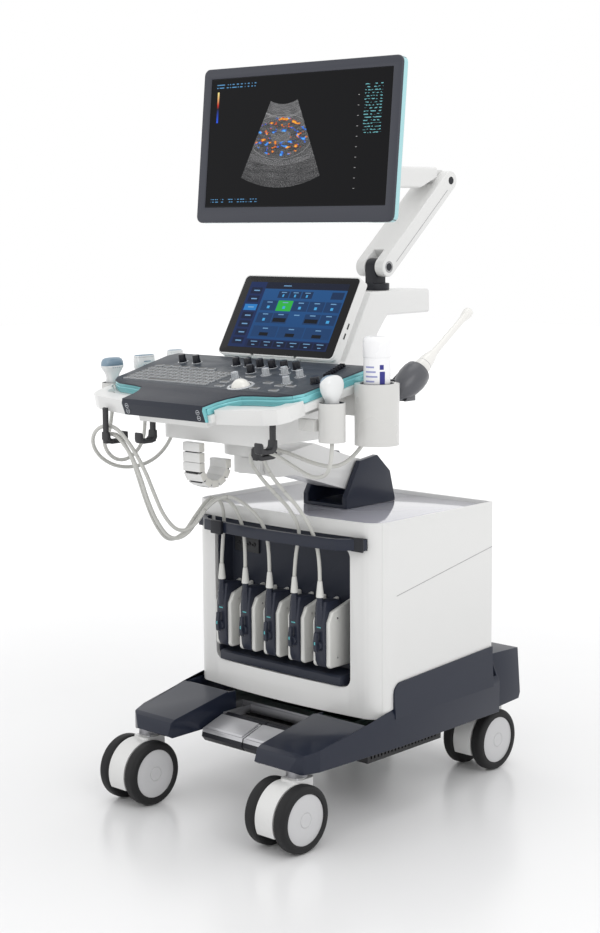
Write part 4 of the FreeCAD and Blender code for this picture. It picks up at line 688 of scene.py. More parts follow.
bm = bmesh.new()
fluted(bm, 0.262, -0.130, 0.011, 0.0008, 0.014, 16)
bmesh.ops.transform(bm, matrix=on_console, verts=bm.verts)
piece("gain_cap", outward(bm), knob_black, "gain_knob", ("gain_knob",))
bm = bmesh.new()
for x, y in SLIDERS:
    brick(bm, x - 0.007, x + 0.007, y - 0.00225, y + 0.00225, 0.0008, 0.0055)
    for i in range(5):
        brick(bm, x - 0.0052 + i * 0.0026 - 0.0006, x - 0.0052 + i * 0.0026 + 0.0006, y - 0.0021, y + 0.0021,
              0.0052, 0.0078)
ease(bm, 0.0003, 1)
bmesh.ops.transform(bm, matrix=on_console, verts=bm.verts)
piece("level_sliders", bm, knob_black, "gain_sliders", ("gain_sliders",))
bm = bmesh.new()
for x, y in SLIDERS:
    brick(bm, x - 0.021, x + 0.021, y - 0.0008, y + 0.0008, -0.0002, 0.00025)
bmesh.ops.transform(bm, matrix=on_console, verts=bm.verts)
piece("slider_slots", bm, vent_black, "console")

bm = bmesh.new()
bmesh.ops.create_uvsphere(bm, u_segments=48, v_segments=32, radius=0.022,
                          matrix=on_console @ Matrix.Translation((0.098, -0.185, -0.006)))
piece("ball", bm, ball_ivory, "trackball", ("trackball",))
bm = bmesh.new()
turned(bm, [(0.0001, 0.0232), (0.0014, 0.0236), (0.0022, 0.0250), (0.0020, 0.0282), (0.0001, 0.0300)],
       (0.098, -0.185, 0), (0, 0, 1), 64)
bmesh.ops.transform(bm, matrix=on_console, verts=bm.verts)
piece("ball_ring", outward(bm), clear_plastic, "console")


# ------------------------------------------------------------------ touch screen
# A white tray leaning back on its hinge, faced with black glass; the lit area shows rows of
# blue tiles, one of them green, with small pale marks in place of words.
TOUCH_SIZE = (0.354, 0.208)
TOUCH_FOOT = 0.006
on_touch = Matrix.Translation((0, -0.152, 1.020)) @ Matrix.Rotation(math.radians(-30), 4, "X")

softened("touch_panel", shell_white, "touch_panel", 0.0040, 4, 25)


def pane(name, place, x0, x1, z0, z1, y, material, body, stands_for=(), corner=0.004):
    """A flat lit pane facing -Y in its own panel's frame, with a UV map from 0 to 1 both ways."""
    bm = bmesh.new()
    verts = [bm.verts.new((x, y, z)) for x, z in ((x0, z0), (x1, z0), (x1, z1), (x0, z1))]
    bm.faces.new(verts)
    bmesh.ops.bevel(bm, geom=bm.verts[:], offset=corner, offset_type="OFFSET", segments=5, profile=0.5,
                    affect="VERTICES", material=-1)
    layer = bm.loops.layers.uv.new("pane")
    for face in bm.faces:
        for loop in face.loops:
            loop[layer].uv = ((loop.vert.co.x - x0) / (x1 - x0), (loop.vert.co.z - z0) / (z1 - z0))
    bmesh.ops.transform(bm, matrix=place, verts=bm.verts)
    return piece(name, bm, material, body, stands_for)


def tiles(u, v, area, columns, rows, gap):
    """1 inside each tile of a grid over that area, 0 between the tiles and outside."""
    left, right, low, high = area
    across = ((u - left) * (columns / (right - left))).mod(1.0)
    upward = ((v - low) * (rows / (high - low))).mod(1.0)
    inside = u.between(left, right) * v.between(low, high)
    return inside * across.between(gap / 2, 1 - gap / 2) * upward.between(gap, 1 - gap)


def dashes(finish, spot, u, v, area, columns, rows, scale, share):
    """Small broken lines that stand for words: a noise cut into rows."""
    left, right, low, high = area
    upward = ((v - low) * (rows / (high - low))).mod(1.0)
    stretched = finish.start.add("ShaderNodeMapping", {}, {"Vector": spot, "Scale": (columns, rows, 1)})
    speck = finish.noise(scale, 0, stretched)
    return u.between(left, right) * v.between(low, high) * upward.between(0.34, 0.66) * (speck > share)


glass_black = moulded("glass_black", (0.006, 0.006, 0.007), 0.24, gloss=0.2)
touch_finish = Finish("touch_picture", Base_Color=(0.002, 0.003, 0.006, 1), Roughness=0.30,
                      Specular_IOR_Level=0.12, Emission_Strength=1.0)
spot, u, v, _ = touch_finish.place("UV")
def patch(left, right, low, high):
    """1 inside that part of the picture."""
    return u.between(left, right) * v.between(low, high)


def centred(area, columns, share, low, high):
    """1 on one short mark in the middle of each column of a row, 0 beside it."""
    left, right = area
    across = ((u - left) * (columns / (right - left))).mod(1.0)
    return u.between(left, right) * v.between(low, high) * across.between(0.5 - share / 2, 0.5 + share / 2)


FIVE = (0.19, 0.99)
lit = v.mix((0.007, 0.052, 0.170), (0.011, 0.080, 0.235))
lit = patch(0, 0.17, 0, 1).mix(lit, (0.007, 0.021, 0.088))
lit = tiles(u, v, (0.02, 0.15, 0.03, 0.93), 1, 7, 0.12).mix(lit, (0.004, 0.010, 0.040))
lit = patch(0.02, 0.15, 0.56, 0.655).mix(lit, (0.020, 0.190, 0.520))
lit = patch(0.17, 1, 0.90, 1).mix(lit, (0.006, 0.009, 0.024))
upper = tiles(u, v, (0.32, 0.68, 0.75, 0.88), 3, 1, 0.10) + patch(0.86, 0.98, 0.765, 0.870)
lit = upper.mix(lit, (0.006, 0.026, 0.080))
middle = tiles(u, v, (*FIVE, 0.56, 0.73), 5, 1, 0.05) + tiles(u, v, (0.19, 0.51, 0.37, 0.54), 2, 1, 0.05)
lit = (middle + tiles(u, v, (0.67, 0.99, 0.37, 0.54), 2, 1, 0.05)).mix(lit, (0.007, 0.038, 0.118))
lit = tiles(u, v, (*FIVE, 0.16, 0.34), 3, 1, 0.04).mix(lit, (0.008, 0.045, 0.140))
lit = patch(0.17, 1, 0, 0.13).mix(lit, (0.006, 0.016, 0.066))
lit = tiles(u, v, (*FIVE, 0.01, 0.12), 6, 1, 0.10).mix(lit, (0.003, 0.008, 0.030))
fields = patch(0.365, 0.495, 0.40, 0.46) + patch(0.685, 0.815, 0.40, 0.46) + centred(FIVE, 3, 0.34, 0.185, 0.235)
lit = fields.mix(lit, (0.001, 0.002, 0.004))
lit = patch(0.355, 0.505, 0.565, 0.725).mix(lit, (0.025, 0.420, 0.050))
icons = centred(FIVE, 5, 0.16, 0.60, 0.64) + centred((0.32, 0.68), 3, 0.14, 0.78, 0.82)
lit = (icons + centred((0.19, 0.35), 1, 0.16, 0.41, 0.45) + patch(0.90, 0.93, 0.41, 0.45)).mix(lit, (0.06, 0.36, 0.70))
words = centred(FIVE, 5, 0.34, 0.688, 0.702) + centred(FIVE, 5, 0.34, 0.505, 0.519) + patch(0.35, 0.43, 0.942, 0.956)
words = words + centred(FIVE, 3, 0.20, 0.290, 0.304) + centred(FIVE, 6, 0.50, 0.088, 0.100)
words = words + centred((0.32, 0.68), 3, 0.44, 0.842, 0.854) + centred(FIVE, 6, 0.24, 0.040, 0.052)
rows = ((v - 0.03) * (7 / 0.90)).mod(1.0)
words = words + u.between(0.06, 0.12) * v.between(0.03, 0.93) * rows.between(0.44, 0.58)
lit = words.mix(lit, (0.16, 0.34, 0.56))
touch_picture = touch_finish.set(Emission_Color=lit)

half_w = TOUCH_SIZE[0] / 2
bm = bmesh.new()
brick(bm, -half_w + 0.003, half_w - 0.003, -0.0012, 0.0006, TOUCH_FOOT + 0.003, TOUCH_SIZE[1] - 0.003)
bmesh.ops.bevel(bm, geom=[e for e in bm.edges if abs((e.verts[0].co - e.verts[1].co).normalized().y) > 0.9],
                offset=0.010, offset_type="OFFSET", segments=6, profile=0.5, affect="EDGES", material=-1)
ease(bm, 0.0005, 2, 60)
bmesh.ops.transform(bm, matrix=on_touch, verts=bm.verts)
piece("touch_glass", bm, glass_black, "touch_panel")
pane("touch_picture", on_touch, -0.151, 0.151, 0.024, 0.190, -0.0014, touch_picture, "touch_panel",
     corner=0.001)
bm = bmesh.new()
for z in (0.062, 0.086):
    brick(bm, half_w - 0.0004, half_w + 0.0004, 0.009, 0.013, z, z + 0.014)
bmesh.ops.transform(bm, matrix=on_touch, verts=bm.verts)
piece("touch_slots", bm, vent_black, "touch_panel")


# ------------------------------------------------------------------ neck and monitor arm
# A white moulded neck rises behind the console. On it turns a black post with a counterbalanced
# arm in a white cover, a level link, and a black swivel head that the monitor tilts on.
softened("monitor_neck", shell_white, "console", 0.0080, 5, 12)
softened("arm_post", pedal_black, "arm_post", 0.0020, 3)
softened("spring_arm", shell_white, "spring_arm", 0.0060, 4, 30)
softened("arm_link", shell_white, "arm_link", 0.0040, 4, 30)
softened("monitor_mount", pedal_black, "monitor_mount", 0.0020, 3)

# the seam of the spring arm's cover and the round cap over its lower pin
SPRING_TURN = math.atan2(203, 235)
on_spring = Matrix.Translation((0, 0.205, 1.215)) @ Matrix.Rotation(SPRING_TURN, 4, "X")
bm = bmesh.new()
for side in (-1, 1):
    brick(bm, side * 0.0421, side * 0.0425, 0.028, 0.285, -0.0090, -0.0081)
for side in (-1, 1):
    turned(bm, [(0, 0.0105), (0.0006, 0.0105), (0.0006, 0.0135), (0, 0.0135)], (side * 0.042, 0, 0),
           (side, 0, 0), 36)
bmesh.ops.transform(bm, matrix=on_spring, verts=bm.verts)
piece("spring_arm_seams", outward(bm), seam_grey, "spring_arm")
bm = bmesh.new()
for side in (-1, 1):
    for along in (0, 0.3105):
        turned(bm, [(0, 0), (0.0008, 0), (0.0008, 0.0090), (0, 0.0095)], (side * 0.042, along, 0), (side, 0, 0), 36)
bmesh.ops.transform(bm, matrix=on_spring, verts=bm.verts)
piece("spring_arm_caps", outward(bm), pedal_black, "spring_arm")


# ------------------------------------------------------------------ monitor
# A flat panel in a slate bezel with a pale teal band round its edge and a white back shell. The
# picture is a grey fan of soft tissue with coloured flow, scales and small marks, no words.
SCREEN_W, SCREEN_H = 0.529, 0.298
on_monitor = (Matrix.Translation((-0.036, -0.0315, 1.5045)) @ Matrix.Rotation(math.radians(3.2), 4, "Z") @
              Matrix.Rotation(math.radians(-6.1), 4, "X"))
bezel_slate = moulded("bezel_slate", (0.026, 0.029, 0.043), 0.42, coat=0.08, grain=0.00004)
band_teal = moulded("band_teal", (0.34, 0.62, 0.65), 0.22, coat=0.5)

bm = merged("monitor_bezel")
to_local = on_monitor.inverted()
bmesh.ops.bisect_plane(bm, geom=bm.verts[:] + bm.edges[:] + bm.faces[:], dist=1e-6,
                       plane_co=on_monitor @ Vector((0, 0.0045, 0)), plane_no=on_monitor.to_3x3() @ Vector((0, 1, 0)))
ease(bm, 0.0028, 4, 40)
for face in bm.faces:
    spot = to_local @ face.calc_center_median()
    edge_on = abs(spot.x) > SCREEN_W / 2 + 0.020 or spot.z > SCREEN_H / 2 + 0.0205 or spot.z < -SCREEN_H / 2 - 0.0325
    face.material_index = 1 if edge_on and spot.y > 0.0044 else 0
piece("monitor_frame", bm, [bezel_slate, band_teal], "monitor", ("monitor_bezel",))
softened("monitor_back", shell_white, "monitor", 0.0045, 4, 25)

screen = Finish("ultrasound_picture", Base_Color=(0.002, 0.002, 0.003, 1), Roughness=0.30,
                Specular_IOR_Level=0.12, Emission_Strength=1.0)
spot, u, v, _ = screen.place("UV")
across, height = (u - 0.425) * SCREEN_W, v * SCREEN_H - 0.330
reach = (across * across + height * height).sum("SQRT", across * across + height * height)
swing = screen.start.sum("ARCTAN2", across, height * -1)
inside = reach.between(0.098, 0.288) * (swing.size() < 0.42)
polar = screen.start.add("ShaderNodeCombineXYZ", {}, {0: swing * 0.16, 1: reach, 2: 0.0})
speckle = screen.start.add("ShaderNodeTexNoise", {}, {"Vector": polar, "Scale": 620.0, "Detail": 3.0})
layers = screen.start.add("ShaderNodeTexNoise", {"noise_dimensions": "3D"},
                          {"Vector": screen.start.add("ShaderNodeCombineXYZ", {}, {0: swing * 0.05, 1: reach, 2: 0.0}),
                           "Scale": 120.0, "Detail": 2.0})
organ = screen.start.sum("SQRT", ((across + 0.004) / 0.072).sum("POWER", ((across + 0.004) / 0.072).size(), 2.0)
                         + ((height + 0.172) / 0.040).sum("POWER", ((height + 0.172) / 0.040).size(), 2.0))
body_tone = (organ < 1.0) * -0.16 + 0.36
core_tone = (organ < 0.42) * 0.30
near_line = ((reach - 0.128).size() < 0.0022) * 0.35 + ((reach - 0.232).size() < 0.006) * 0.30
grey = (speckle - 0.36) * 2.4 * (layers * 0.9 + body_tone + core_tone + near_line) * (1.22 - reach * 2.2)
grey = screen.start.sum("MAXIMUM", grey * 0.72, 0.0)
grey = screen.start.sum("POWER", grey, 1.35) * inside * 1.15
tone = screen.start.add("ShaderNodeCombineColor", {}, {0: grey, 1: grey, 2: grey * 1.02})
flow = screen.start.add("ShaderNodeTexNoise", {}, {"Vector": spot, "Scale": 34.0, "Detail": 1.5})
flow_side = screen.start.add("ShaderNodeTexNoise", {}, {"Vector": spot, "Scale": 15.0, "Detail": 1.0})
flow_on = (flow > 0.575) * organ.between(0.30, 1.10) * inside
warm = flow.add("ShaderNodeValToRGB", {"stops": [(0.57, (0.55, 0.02, 0.01)), (0.70, (0.95, 0.50, 0.05))]}, {0: flow})
cool = flow.add("ShaderNodeValToRGB", {"stops": [(0.57, (0.01, 0.04, 0.50)), (0.70, (0.10, 0.45, 0.95))]}, {0: flow})
picture = flow_on.mix(tone, (flow_side > 0.5).mix(cool, warm))
bar = u.between(0.036, 0.046) * v.between(0.66, 0.90)
bar_shade = v.add("ShaderNodeValToRGB", {"stops": [(0.66, (0.02, 0.10, 0.80)), (0.77, (0.01, 0.01, 0.02)),
                                                   (0.80, (0.55, 0.02, 0.01)), (0.90, (0.95, 0.80, 0.30))]}, {0: v})
picture = bar.mix(picture, bar_shade)
ticks = u.between(0.828, 0.836) * v.between(0.12, 0.84) * (((v - 0.12) * 13).mod(1.0) < 0.05)
side_words = dashes(screen, spot, u, v, (0.862, 0.955, 0.52, 0.90), 14, 17, 5, 0.53)
top_words = dashes(screen, spot, u, v, (0.03, 0.26, 0.922, 0.968), 24, 2, 5, 0.50)
foot_words = dashes(screen, spot, u, v, (0.03, 0.30, 0.026, 0.066), 24, 2, 5, 0.52)
roi = ((organ - 1.28).size() < 0.012) * (((swing * 90).mod(1.0)) < 0.5) * inside
picture = (side_words > 0.5).mix(picture, (0.16, 0.46, 0.50))
picture = ((top_words + foot_words) > 0.5).mix(picture, (0.10, 0.30, 0.55))
picture = ((ticks + roi) > 0.5).mix(picture, (0.42, 0.42, 0.42))
ultrasound_picture = screen.set(Emission_Color=picture)
softened("monitor_screen", glass_black, "monitor", 0.0006, 2)
pane("monitor_picture", on_monitor, -SCREEN_W / 2 + 0.0015, SCREEN_W / 2 - 0.0015, -SCREEN_H / 2 + 0.0015,
     SCREEN_H / 2 - 0.0015, -0.0003, ultrasound_picture, "monitor", corner=0.001)

# ------------------------------------------------------------------ probe and gel holders
# White moulded cups on arms at the console's sides, with dark soft liners, and a dark rubber boot
# on a clamp that holds the internal probe's grip at a slant.
LEFT_CUPS = [(-0.326, y, 0.962, 0.0220) for y in (-0.338, -0.240, -0.142)]
RIGHT_CUPS = [(0.316, -0.306, 0.955, 0.0250), (0.352, -0.206, 0.990, 0.0350)]
WAND_FOOT = Vector((0.334, -0.116, 0.957))
WAND_AXIS = Vector((0, math.cos(math.radians(34)), math.sin(math.radians(34))))
cup_silver = moulded("cup_silver", (0.60, 0.597, 0.58), 0.28, coat=0.3, drift=0.02)
liner_grey = moulded("liner_grey", (0.045, 0.048, 0.056), 0.6, grain=0.0002)
boot_rubber = moulded("boot_rubber", (0.070, 0.072, 0.082), 0.34, coat=0.25, grain=0.00008)

bm = merged("probe_holders")
ease(bm, 0.0016, 3, 30)
for face in bm.faces:
    away = face.calc_center_median() - WAND_FOOT
    along = away.dot(WAND_AXIS)
    near = (away - WAND_AXIS * along).length < 0.034 and -0.01 < along < 0.09
    face.material_index = 1 if near and abs(away.x) < 0.032 else 0
piece("holders", bm, [cup_silver, boot_rubber], "console", ("probe_holders",))

bm = bmesh.new()
for x, y, rim, bore in LEFT_CUPS + RIGHT_CUPS:
    turned(bm, [(-0.030, bore - 0.0002), (-0.0005, bore - 0.0002), (0.0006, bore + 0.0006),
                (0.0004, bore - 0.0024), (-0.004, bore - 0.0032), (-0.030, bore - 0.0032)], (x, y, rim), (0, 0, 1), 48)
piece("cup_liners", outward(bm), liner_grey, "console")
bm = bmesh.new()
turned(bm, [(-0.004, 0.0075), (0.000, 0.0135), (0.014, 0.0225), (0.034, 0.0292), (0.054, 0.0318), (0.070, 0.0312),
            (0.080, 0.0285), (0.0835, 0.0255), (0.0825, 0.0238), (0.070, 0.0228), (0.030, 0.0190)],
       WAND_FOOT, WAND_AXIS, 64)
piece("wand_boot", outward(bm), boot_rubber, "console")
bm = bmesh.new()
brick(bm, 0.286, 0.312, -0.128, -0.076, 0.957, 0.979)
brick(bm, 0.300, 0.318, -0.122, -0.052, 0.968, 0.988)
turned(bm, [(-0.012, 0), (-0.012, 0.0115), (0.012, 0.0115), (0.012, 0)], (0.303, -0.075, 0.985), (0.2, 0.7, 0.6), 24)
ease(bm, 0.003, 3, 40)
piece("wand_clamp", outward(bm), pedal_black, "console")


# ------------------------------------------------------------------ probes and gel bottle
# White hand-held scan heads with waisted grips and blue-grey lenses, an internal probe with a long
# thin wand, and a white squeeze bottle with a generic printed band.
probe_white = moulded("probe_white", (0.736, 0.745, 0.745), 0.24, coat=0.5, drift=0.02)
lens_blue = moulded("lens_blue", (0.20, 0.29, 0.37), 0.30, coat=0.4)
wand_white = moulded("wand_white", (0.763, 0.753, 0.725), 0.22, coat=0.5, drift=0.02)
print_blue = moulded("print_blue", (0.020, 0.022, 0.22), 0.4)
print_pale = moulded("print_pale", (0.30, 0.32, 0.55), 0.4)
bottle_white = moulded("bottle_white", (0.84, 0.84, 0.85), 0.28, coat=0.3, drift=0.02)


def lofted(bm, x, y, sections, squareness=2.6, steps=40):
    """A closed form with rounded cross-sections (height, half width across, half width along)."""
    rings = []
    for z, half_x, half_y in sections:
        ring = []
        for i in range(steps):
            a = math.tau * i / steps
            c, s = math.cos(a), math.sin(a)
            ring.append(bm.verts.new((x + half_x * math.copysign(abs(c) ** (2 / squareness), c),
                                      y + half_y * math.copysign(abs(s) ** (2 / squareness), s), z)))
        rings.append(ring)
    for low, high in zip(rings, rings[1:]):
        for i in range(steps):
            bm.faces.new((low[i], low[(i + 1) % steps], high[(i + 1) % steps], high[i]))
    bm.faces.new(rings[0][::-1])
    bm.faces.new(rings[-1])


GRIP_LOW = [(0.9202, 0.0060, 0.0060), (0.9205, 0.0105, 0.0105), (0.940, 0.0135, 0.0135), (0.958, 0.0145, 0.0145),
            (0.972, 0.0125, 0.0130)]
HEADS = {
    "convex": (LEFT_CUPS[0], GRIP_LOW + [(0.982, 0.0130, 0.0165), (0.990, 0.0140, 0.0235), (0.996, 0.0148, 0.0285),
               (0.9995, 0.0150, 0.0295), (1.0005, 0.0140, 0.0287), (1.0015, 0.0146, 0.0292), (1.009, 0.0142, 0.0282),
               (1.015, 0.0118, 0.0255), (1.0185, 0.0070, 0.0195), (1.0195, 0.0015, 0.0080)], 1.0003),
    "linear": (LEFT_CUPS[1], GRIP_LOW + [(0.980, 0.0108, 0.0180), (0.988, 0.0108, 0.0265), (0.994, 0.0110, 0.0288),
               (1.0125, 0.0108, 0.0290), (1.0132, 0.0102, 0.0284), (1.0139, 0.0106, 0.0287), (1.0175, 0.0096, 0.0280),
               (1.0195, 0.0060, 0.0255), (1.0200, 0.0015, 0.0200)], 1.0180),
    "phased": (LEFT_CUPS[2], GRIP_LOW + [(0.982, 0.0116, 0.0160), (0.990, 0.0120, 0.0204), (1.018, 0.0118, 0.0208),
               (1.0188, 0.0112, 0.0203), (1.0196, 0.0116, 0.0206), (1.0240, 0.0100, 0.0195), (1.0256, 0.0050, 0.0160),
               (1.0260, 0.0010, 0.0100)], 1.0235),
}
for kind, (place, sections, lens_from) in HEADS.items():
    bm = bmesh.new()
    lofted(bm, place[0], place[1], sections, 3.4 if kind != "convex" else 2.8)
    for face in bm.faces:
        face.material_index = 1 if face.calc_center_median().z > lens_from else 0
    side = place[0] + sections[7][1]
    brick(bm, side - 0.0006, side + 0.0002, place[1] - 0.010, place[1] + 0.010, 1.0035, 1.0055, 1)
    for i in range(4):
        brick(bm, side - 0.0006, side + 0.0002, place[1] - 0.0110 + i * 0.006, place[1] - 0.0085 + i * 0.006,
              0.9955, 0.9975, 1)
    piece(f"probe_{kind}_head", outward(bm), [probe_white, lens_blue], f"probe_{kind}",
          (f"probe_{kind}",), 50)

x, y = RIGHT_CUPS[0][:2]
bm = bmesh.new()
lofted(bm, x, y, [(0.8785, 0.0060, 0.0060), (0.879, 0.0110, 0.0110), (0.910, 0.0140, 0.0140), (0.945, 0.0145, 0.0145),
                  (0.960, 0.0130, 0.0135), (0.967, 0.0145, 0.0190), (0.976, 0.0158, 0.0250), (0.986, 0.0162, 0.0282),
                  (0.994, 0.0160, 0.0285), (1.001, 0.0152, 0.0262), (1.007, 0.0132, 0.0212), (1.0108, 0.0090, 0.0140),
                  (1.0122, 0.0030, 0.0050)], 3.0)
lens_edge, lens_side = Vector((x - 0.0060, y, 0.9985)), Vector((-0.80, 0, 0.60))
bmesh.ops.bisect_plane(bm, geom=bm.verts[:] + bm.edges[:] + bm.faces[:], dist=1e-6, plane_co=lens_edge,
                       plane_no=lens_side)
for face in bm.faces:
    face.material_index = 1 if (face.calc_center_median() - lens_edge).dot(lens_side) > 0 else 0
piece("probe_volume_head", outward(bm), [probe_white, lens_blue], "probe_volume", ("probe_volume",), 50)

bm = bmesh.new()
turned(bm, [(0.0045, 0), (0.0045, 0.0078), (0.030, 0.0125), (0.070, 0.0162), (0.092, 0.0168), (0.100, 0.0178),
            (0.104, 0.0180), (0.106, 0.0170), (0.120, 0.0158), (0.134, 0.0125), (0.148, 0.0088), (0.170, 0.0077),
            (0.262, 0.0077), (0.272, 0.0082), (0.280, 0.0100), (0.290, 0.0117), (0.2965, 0.0108), (0.3005, 0.0070),
            (0.3020, 0.0020), (0.3021, 0)], WAND_FOOT, WAND_AXIS, 48)
for face in bm.faces:
    along = (face.calc_center_median() - WAND_FOOT).dot(WAND_AXIS)
    face.material_index = 1 if 0.1035 < along < 0.1065 else 0
piece("wand", outward(bm), [wand_white, seam_grey], "probe_endocavity", ("probe_endocavity",), 50)

x, y = RIGHT_CUPS[1][:2]
BOTTLE_FOOT, BOTTLE_SHOULDER, BOTTLE_TOP = 0.8683, 1.0443, 1.0883
bm = bmesh.new()
turned(bm, [(0, 0), (0, 0.0250), (0.0012, 0.0272), (0.004, 0.0280), (0.1755, 0.0280), (0.1760, 0.0286), (0.1775, 0.0290),
            (0.209, 0.0290), (0.2145, 0.0276), (0.2180, 0.0245), (0.2192, 0.0215), (0.2196, 0.0120), (0.2200, 0)],
       (x, y, BOTTLE_FOOT), (0, 0, 1), 64)
piece("bottle", outward(bm), bottle_white, "gel_bottle", ("gel_bottle",), 50)


def label_patch(bm, from_deg, to_deg, z0, z1, radius, material=0):
    """A thin printed patch that lies on the bottle's side."""
    steps = max(2, int(abs(to_deg - from_deg) / 5))
    turns = [math.radians(from_deg + (to_deg - from_deg) * i / steps) for i in range(steps + 1)]
    rows = [[bm.verts.new((x + radius * math.cos(t), y + radius * math.sin(t), z)) for t in turns] for z in (z0, z1)]
    for i in range(steps):
        bm.faces.new((rows[0][i], rows[0][i + 1], rows[1][i + 1], rows[1][i])).material_index = material


bm = bmesh.new()
label_patch(bm, -38, -14, 0.930, 1.016, 0.02815)
label_patch(bm, -38, -20, 1.020, 1.030, 0.02815)
for i in range(9):
    label_patch(bm, -104, -46 - (i * 7) % 20, 0.945 + i * 0.0098, 0.9485 + i * 0.0098, 0.02815, 1)
piece("bottle_print", bm, [print_blue, print_pale], "gel_bottle")


# ------------------------------------------------------------------ hooks and cable carrier
# Soft black J hooks under the grips that hold the loops of cable, and a white segmented carrier
# that hangs in a curve under the housing and leads the console's own wiring to the lift arm.
HOOKS = [(-0.214, -0.458, 0.922, 0.850, 0.056), (-0.092, -0.430, 0.922, 0.862, -0.044),
         (0.108, -0.318, 0.866, 0.826, 0.056), (0.262, -0.426, 0.922, 0.868, -0.044)]
hook_black = moulded("hook_black", (0.016, 0.016, 0.019), 0.42, grain=0.00015)
carrier_grey = moulded("carrier_grey", (0.62, 0.61, 0.57), 0.5)

bm = merged("cable_hooks")
ease(bm, 0.0026, 3, 40)
piece("hook_bars", bm, hook_black, "console", ("cable_hooks",))
bm = bmesh.new()
for x, y, top, saddle, reach in HOOKS:
    way = math.copysign(1, reach)
    low = saddle - 0.008
    outline = [(y - way * 0.0042, saddle + 0.018), (y - way * 0.0046, low + 0.010), (y + way * 0.0010, low + 0.0015),
               (y + way * 0.010, low - 0.0012), (y + reach - way * 0.010, low - 0.0012),
               (y + reach - way * 0.0010, low + 0.0015), (y + reach + way * 0.0010, low + 0.009),
               (y + reach + way * 0.0004, saddle + 0.0145), (y + reach - way * 0.003, saddle + 0.0155),
               (y + reach - way * 0.0070, saddle + 0.012), (y + reach - way * 0.0085, saddle + 0.003),
               (y + reach - way * 0.012, saddle), (y + way * 0.012, saddle), (y + way * 0.006, saddle + 0.005),
               (y + way * 0.0042, saddle + 0.018)]
    side_slab(bm, outline, x - 0.0100, x + 0.0100)
ease(bm, 0.0020, 3, 40)
piece("hook_pads", outward(bm), hook_black, "console")

CARRIER_MIDDLE = Vector((-0.020, -0.338, 0.800))
CARRIER_R = 0.040
bm = bmesh.new()
for i in range(7):
    a = math.radians(180 + i * 30)
    spot = CARRIER_MIDDLE + Vector((0, CARRIER_R * math.cos(a), CARRIER_R * math.sin(a)))
    bmesh.ops.create_cube(bm, size=1, matrix=Matrix.Translation(spot) @ Matrix.Rotation(a + math.pi / 2, 4, "X") @
                          Matrix.Diagonal((0.052, 0.0196, 0.0160, 1)))
for low, high in ((0.8105, 0.8315), (0.8335, 0.8530)):
    brick(bm, -0.046, 0.006, -0.3860, -0.3700, low, high)
ease(bm, 0.0012, 2, 40)
for face in bm.faces:
    face.material_index = 1 if abs(face.normal.x) > 0.8 else 0
piece("carrier", bm, [shell_white, carrier_grey], "console", ("cable_carrier",))
bm = bmesh.new()
turned(bm, [(-0.0240, CARRIER_R + 0.0045), (-0.0240, CARRIER_R - 0.0045), (0.0240, CARRIER_R - 0.0045),
            (0.0240, CARRIER_R + 0.0045)], CARRIER_MIDDLE, (1, 0, 0), 72)
upper = [f for f in bm.faces if f.calc_center_median().z > CARRIER_MIDDLE.z + 0.004]
bmesh.ops.delete(bm, geom=upper, context="FACES")
bmesh.ops.holes_fill(bm, edges=[e for e in bm.edges if e.is_boundary])
for i in range(6):
    a = math.radians(180 + (i + 0.5) * 30)
    spot = CARRIER_MIDDLE + Vector((0, (CARRIER_R + 0.0072) * math.cos(a), (CARRIER_R + 0.0072) * math.sin(a)))
    bmesh.ops.create_cube(bm, size=1, matrix=Matrix.Translation(spot) @ Matrix.Rotation(a, 4, "X") @
                          Matrix.Diagonal((0.034, 0.0040, 0.0030, 1)))
brick(bm, -0.038, -0.002, -0.3855, -0.3710, 0.8300, 0.8350)
piece("carrier_core", outward(bm), vent_black, "console")


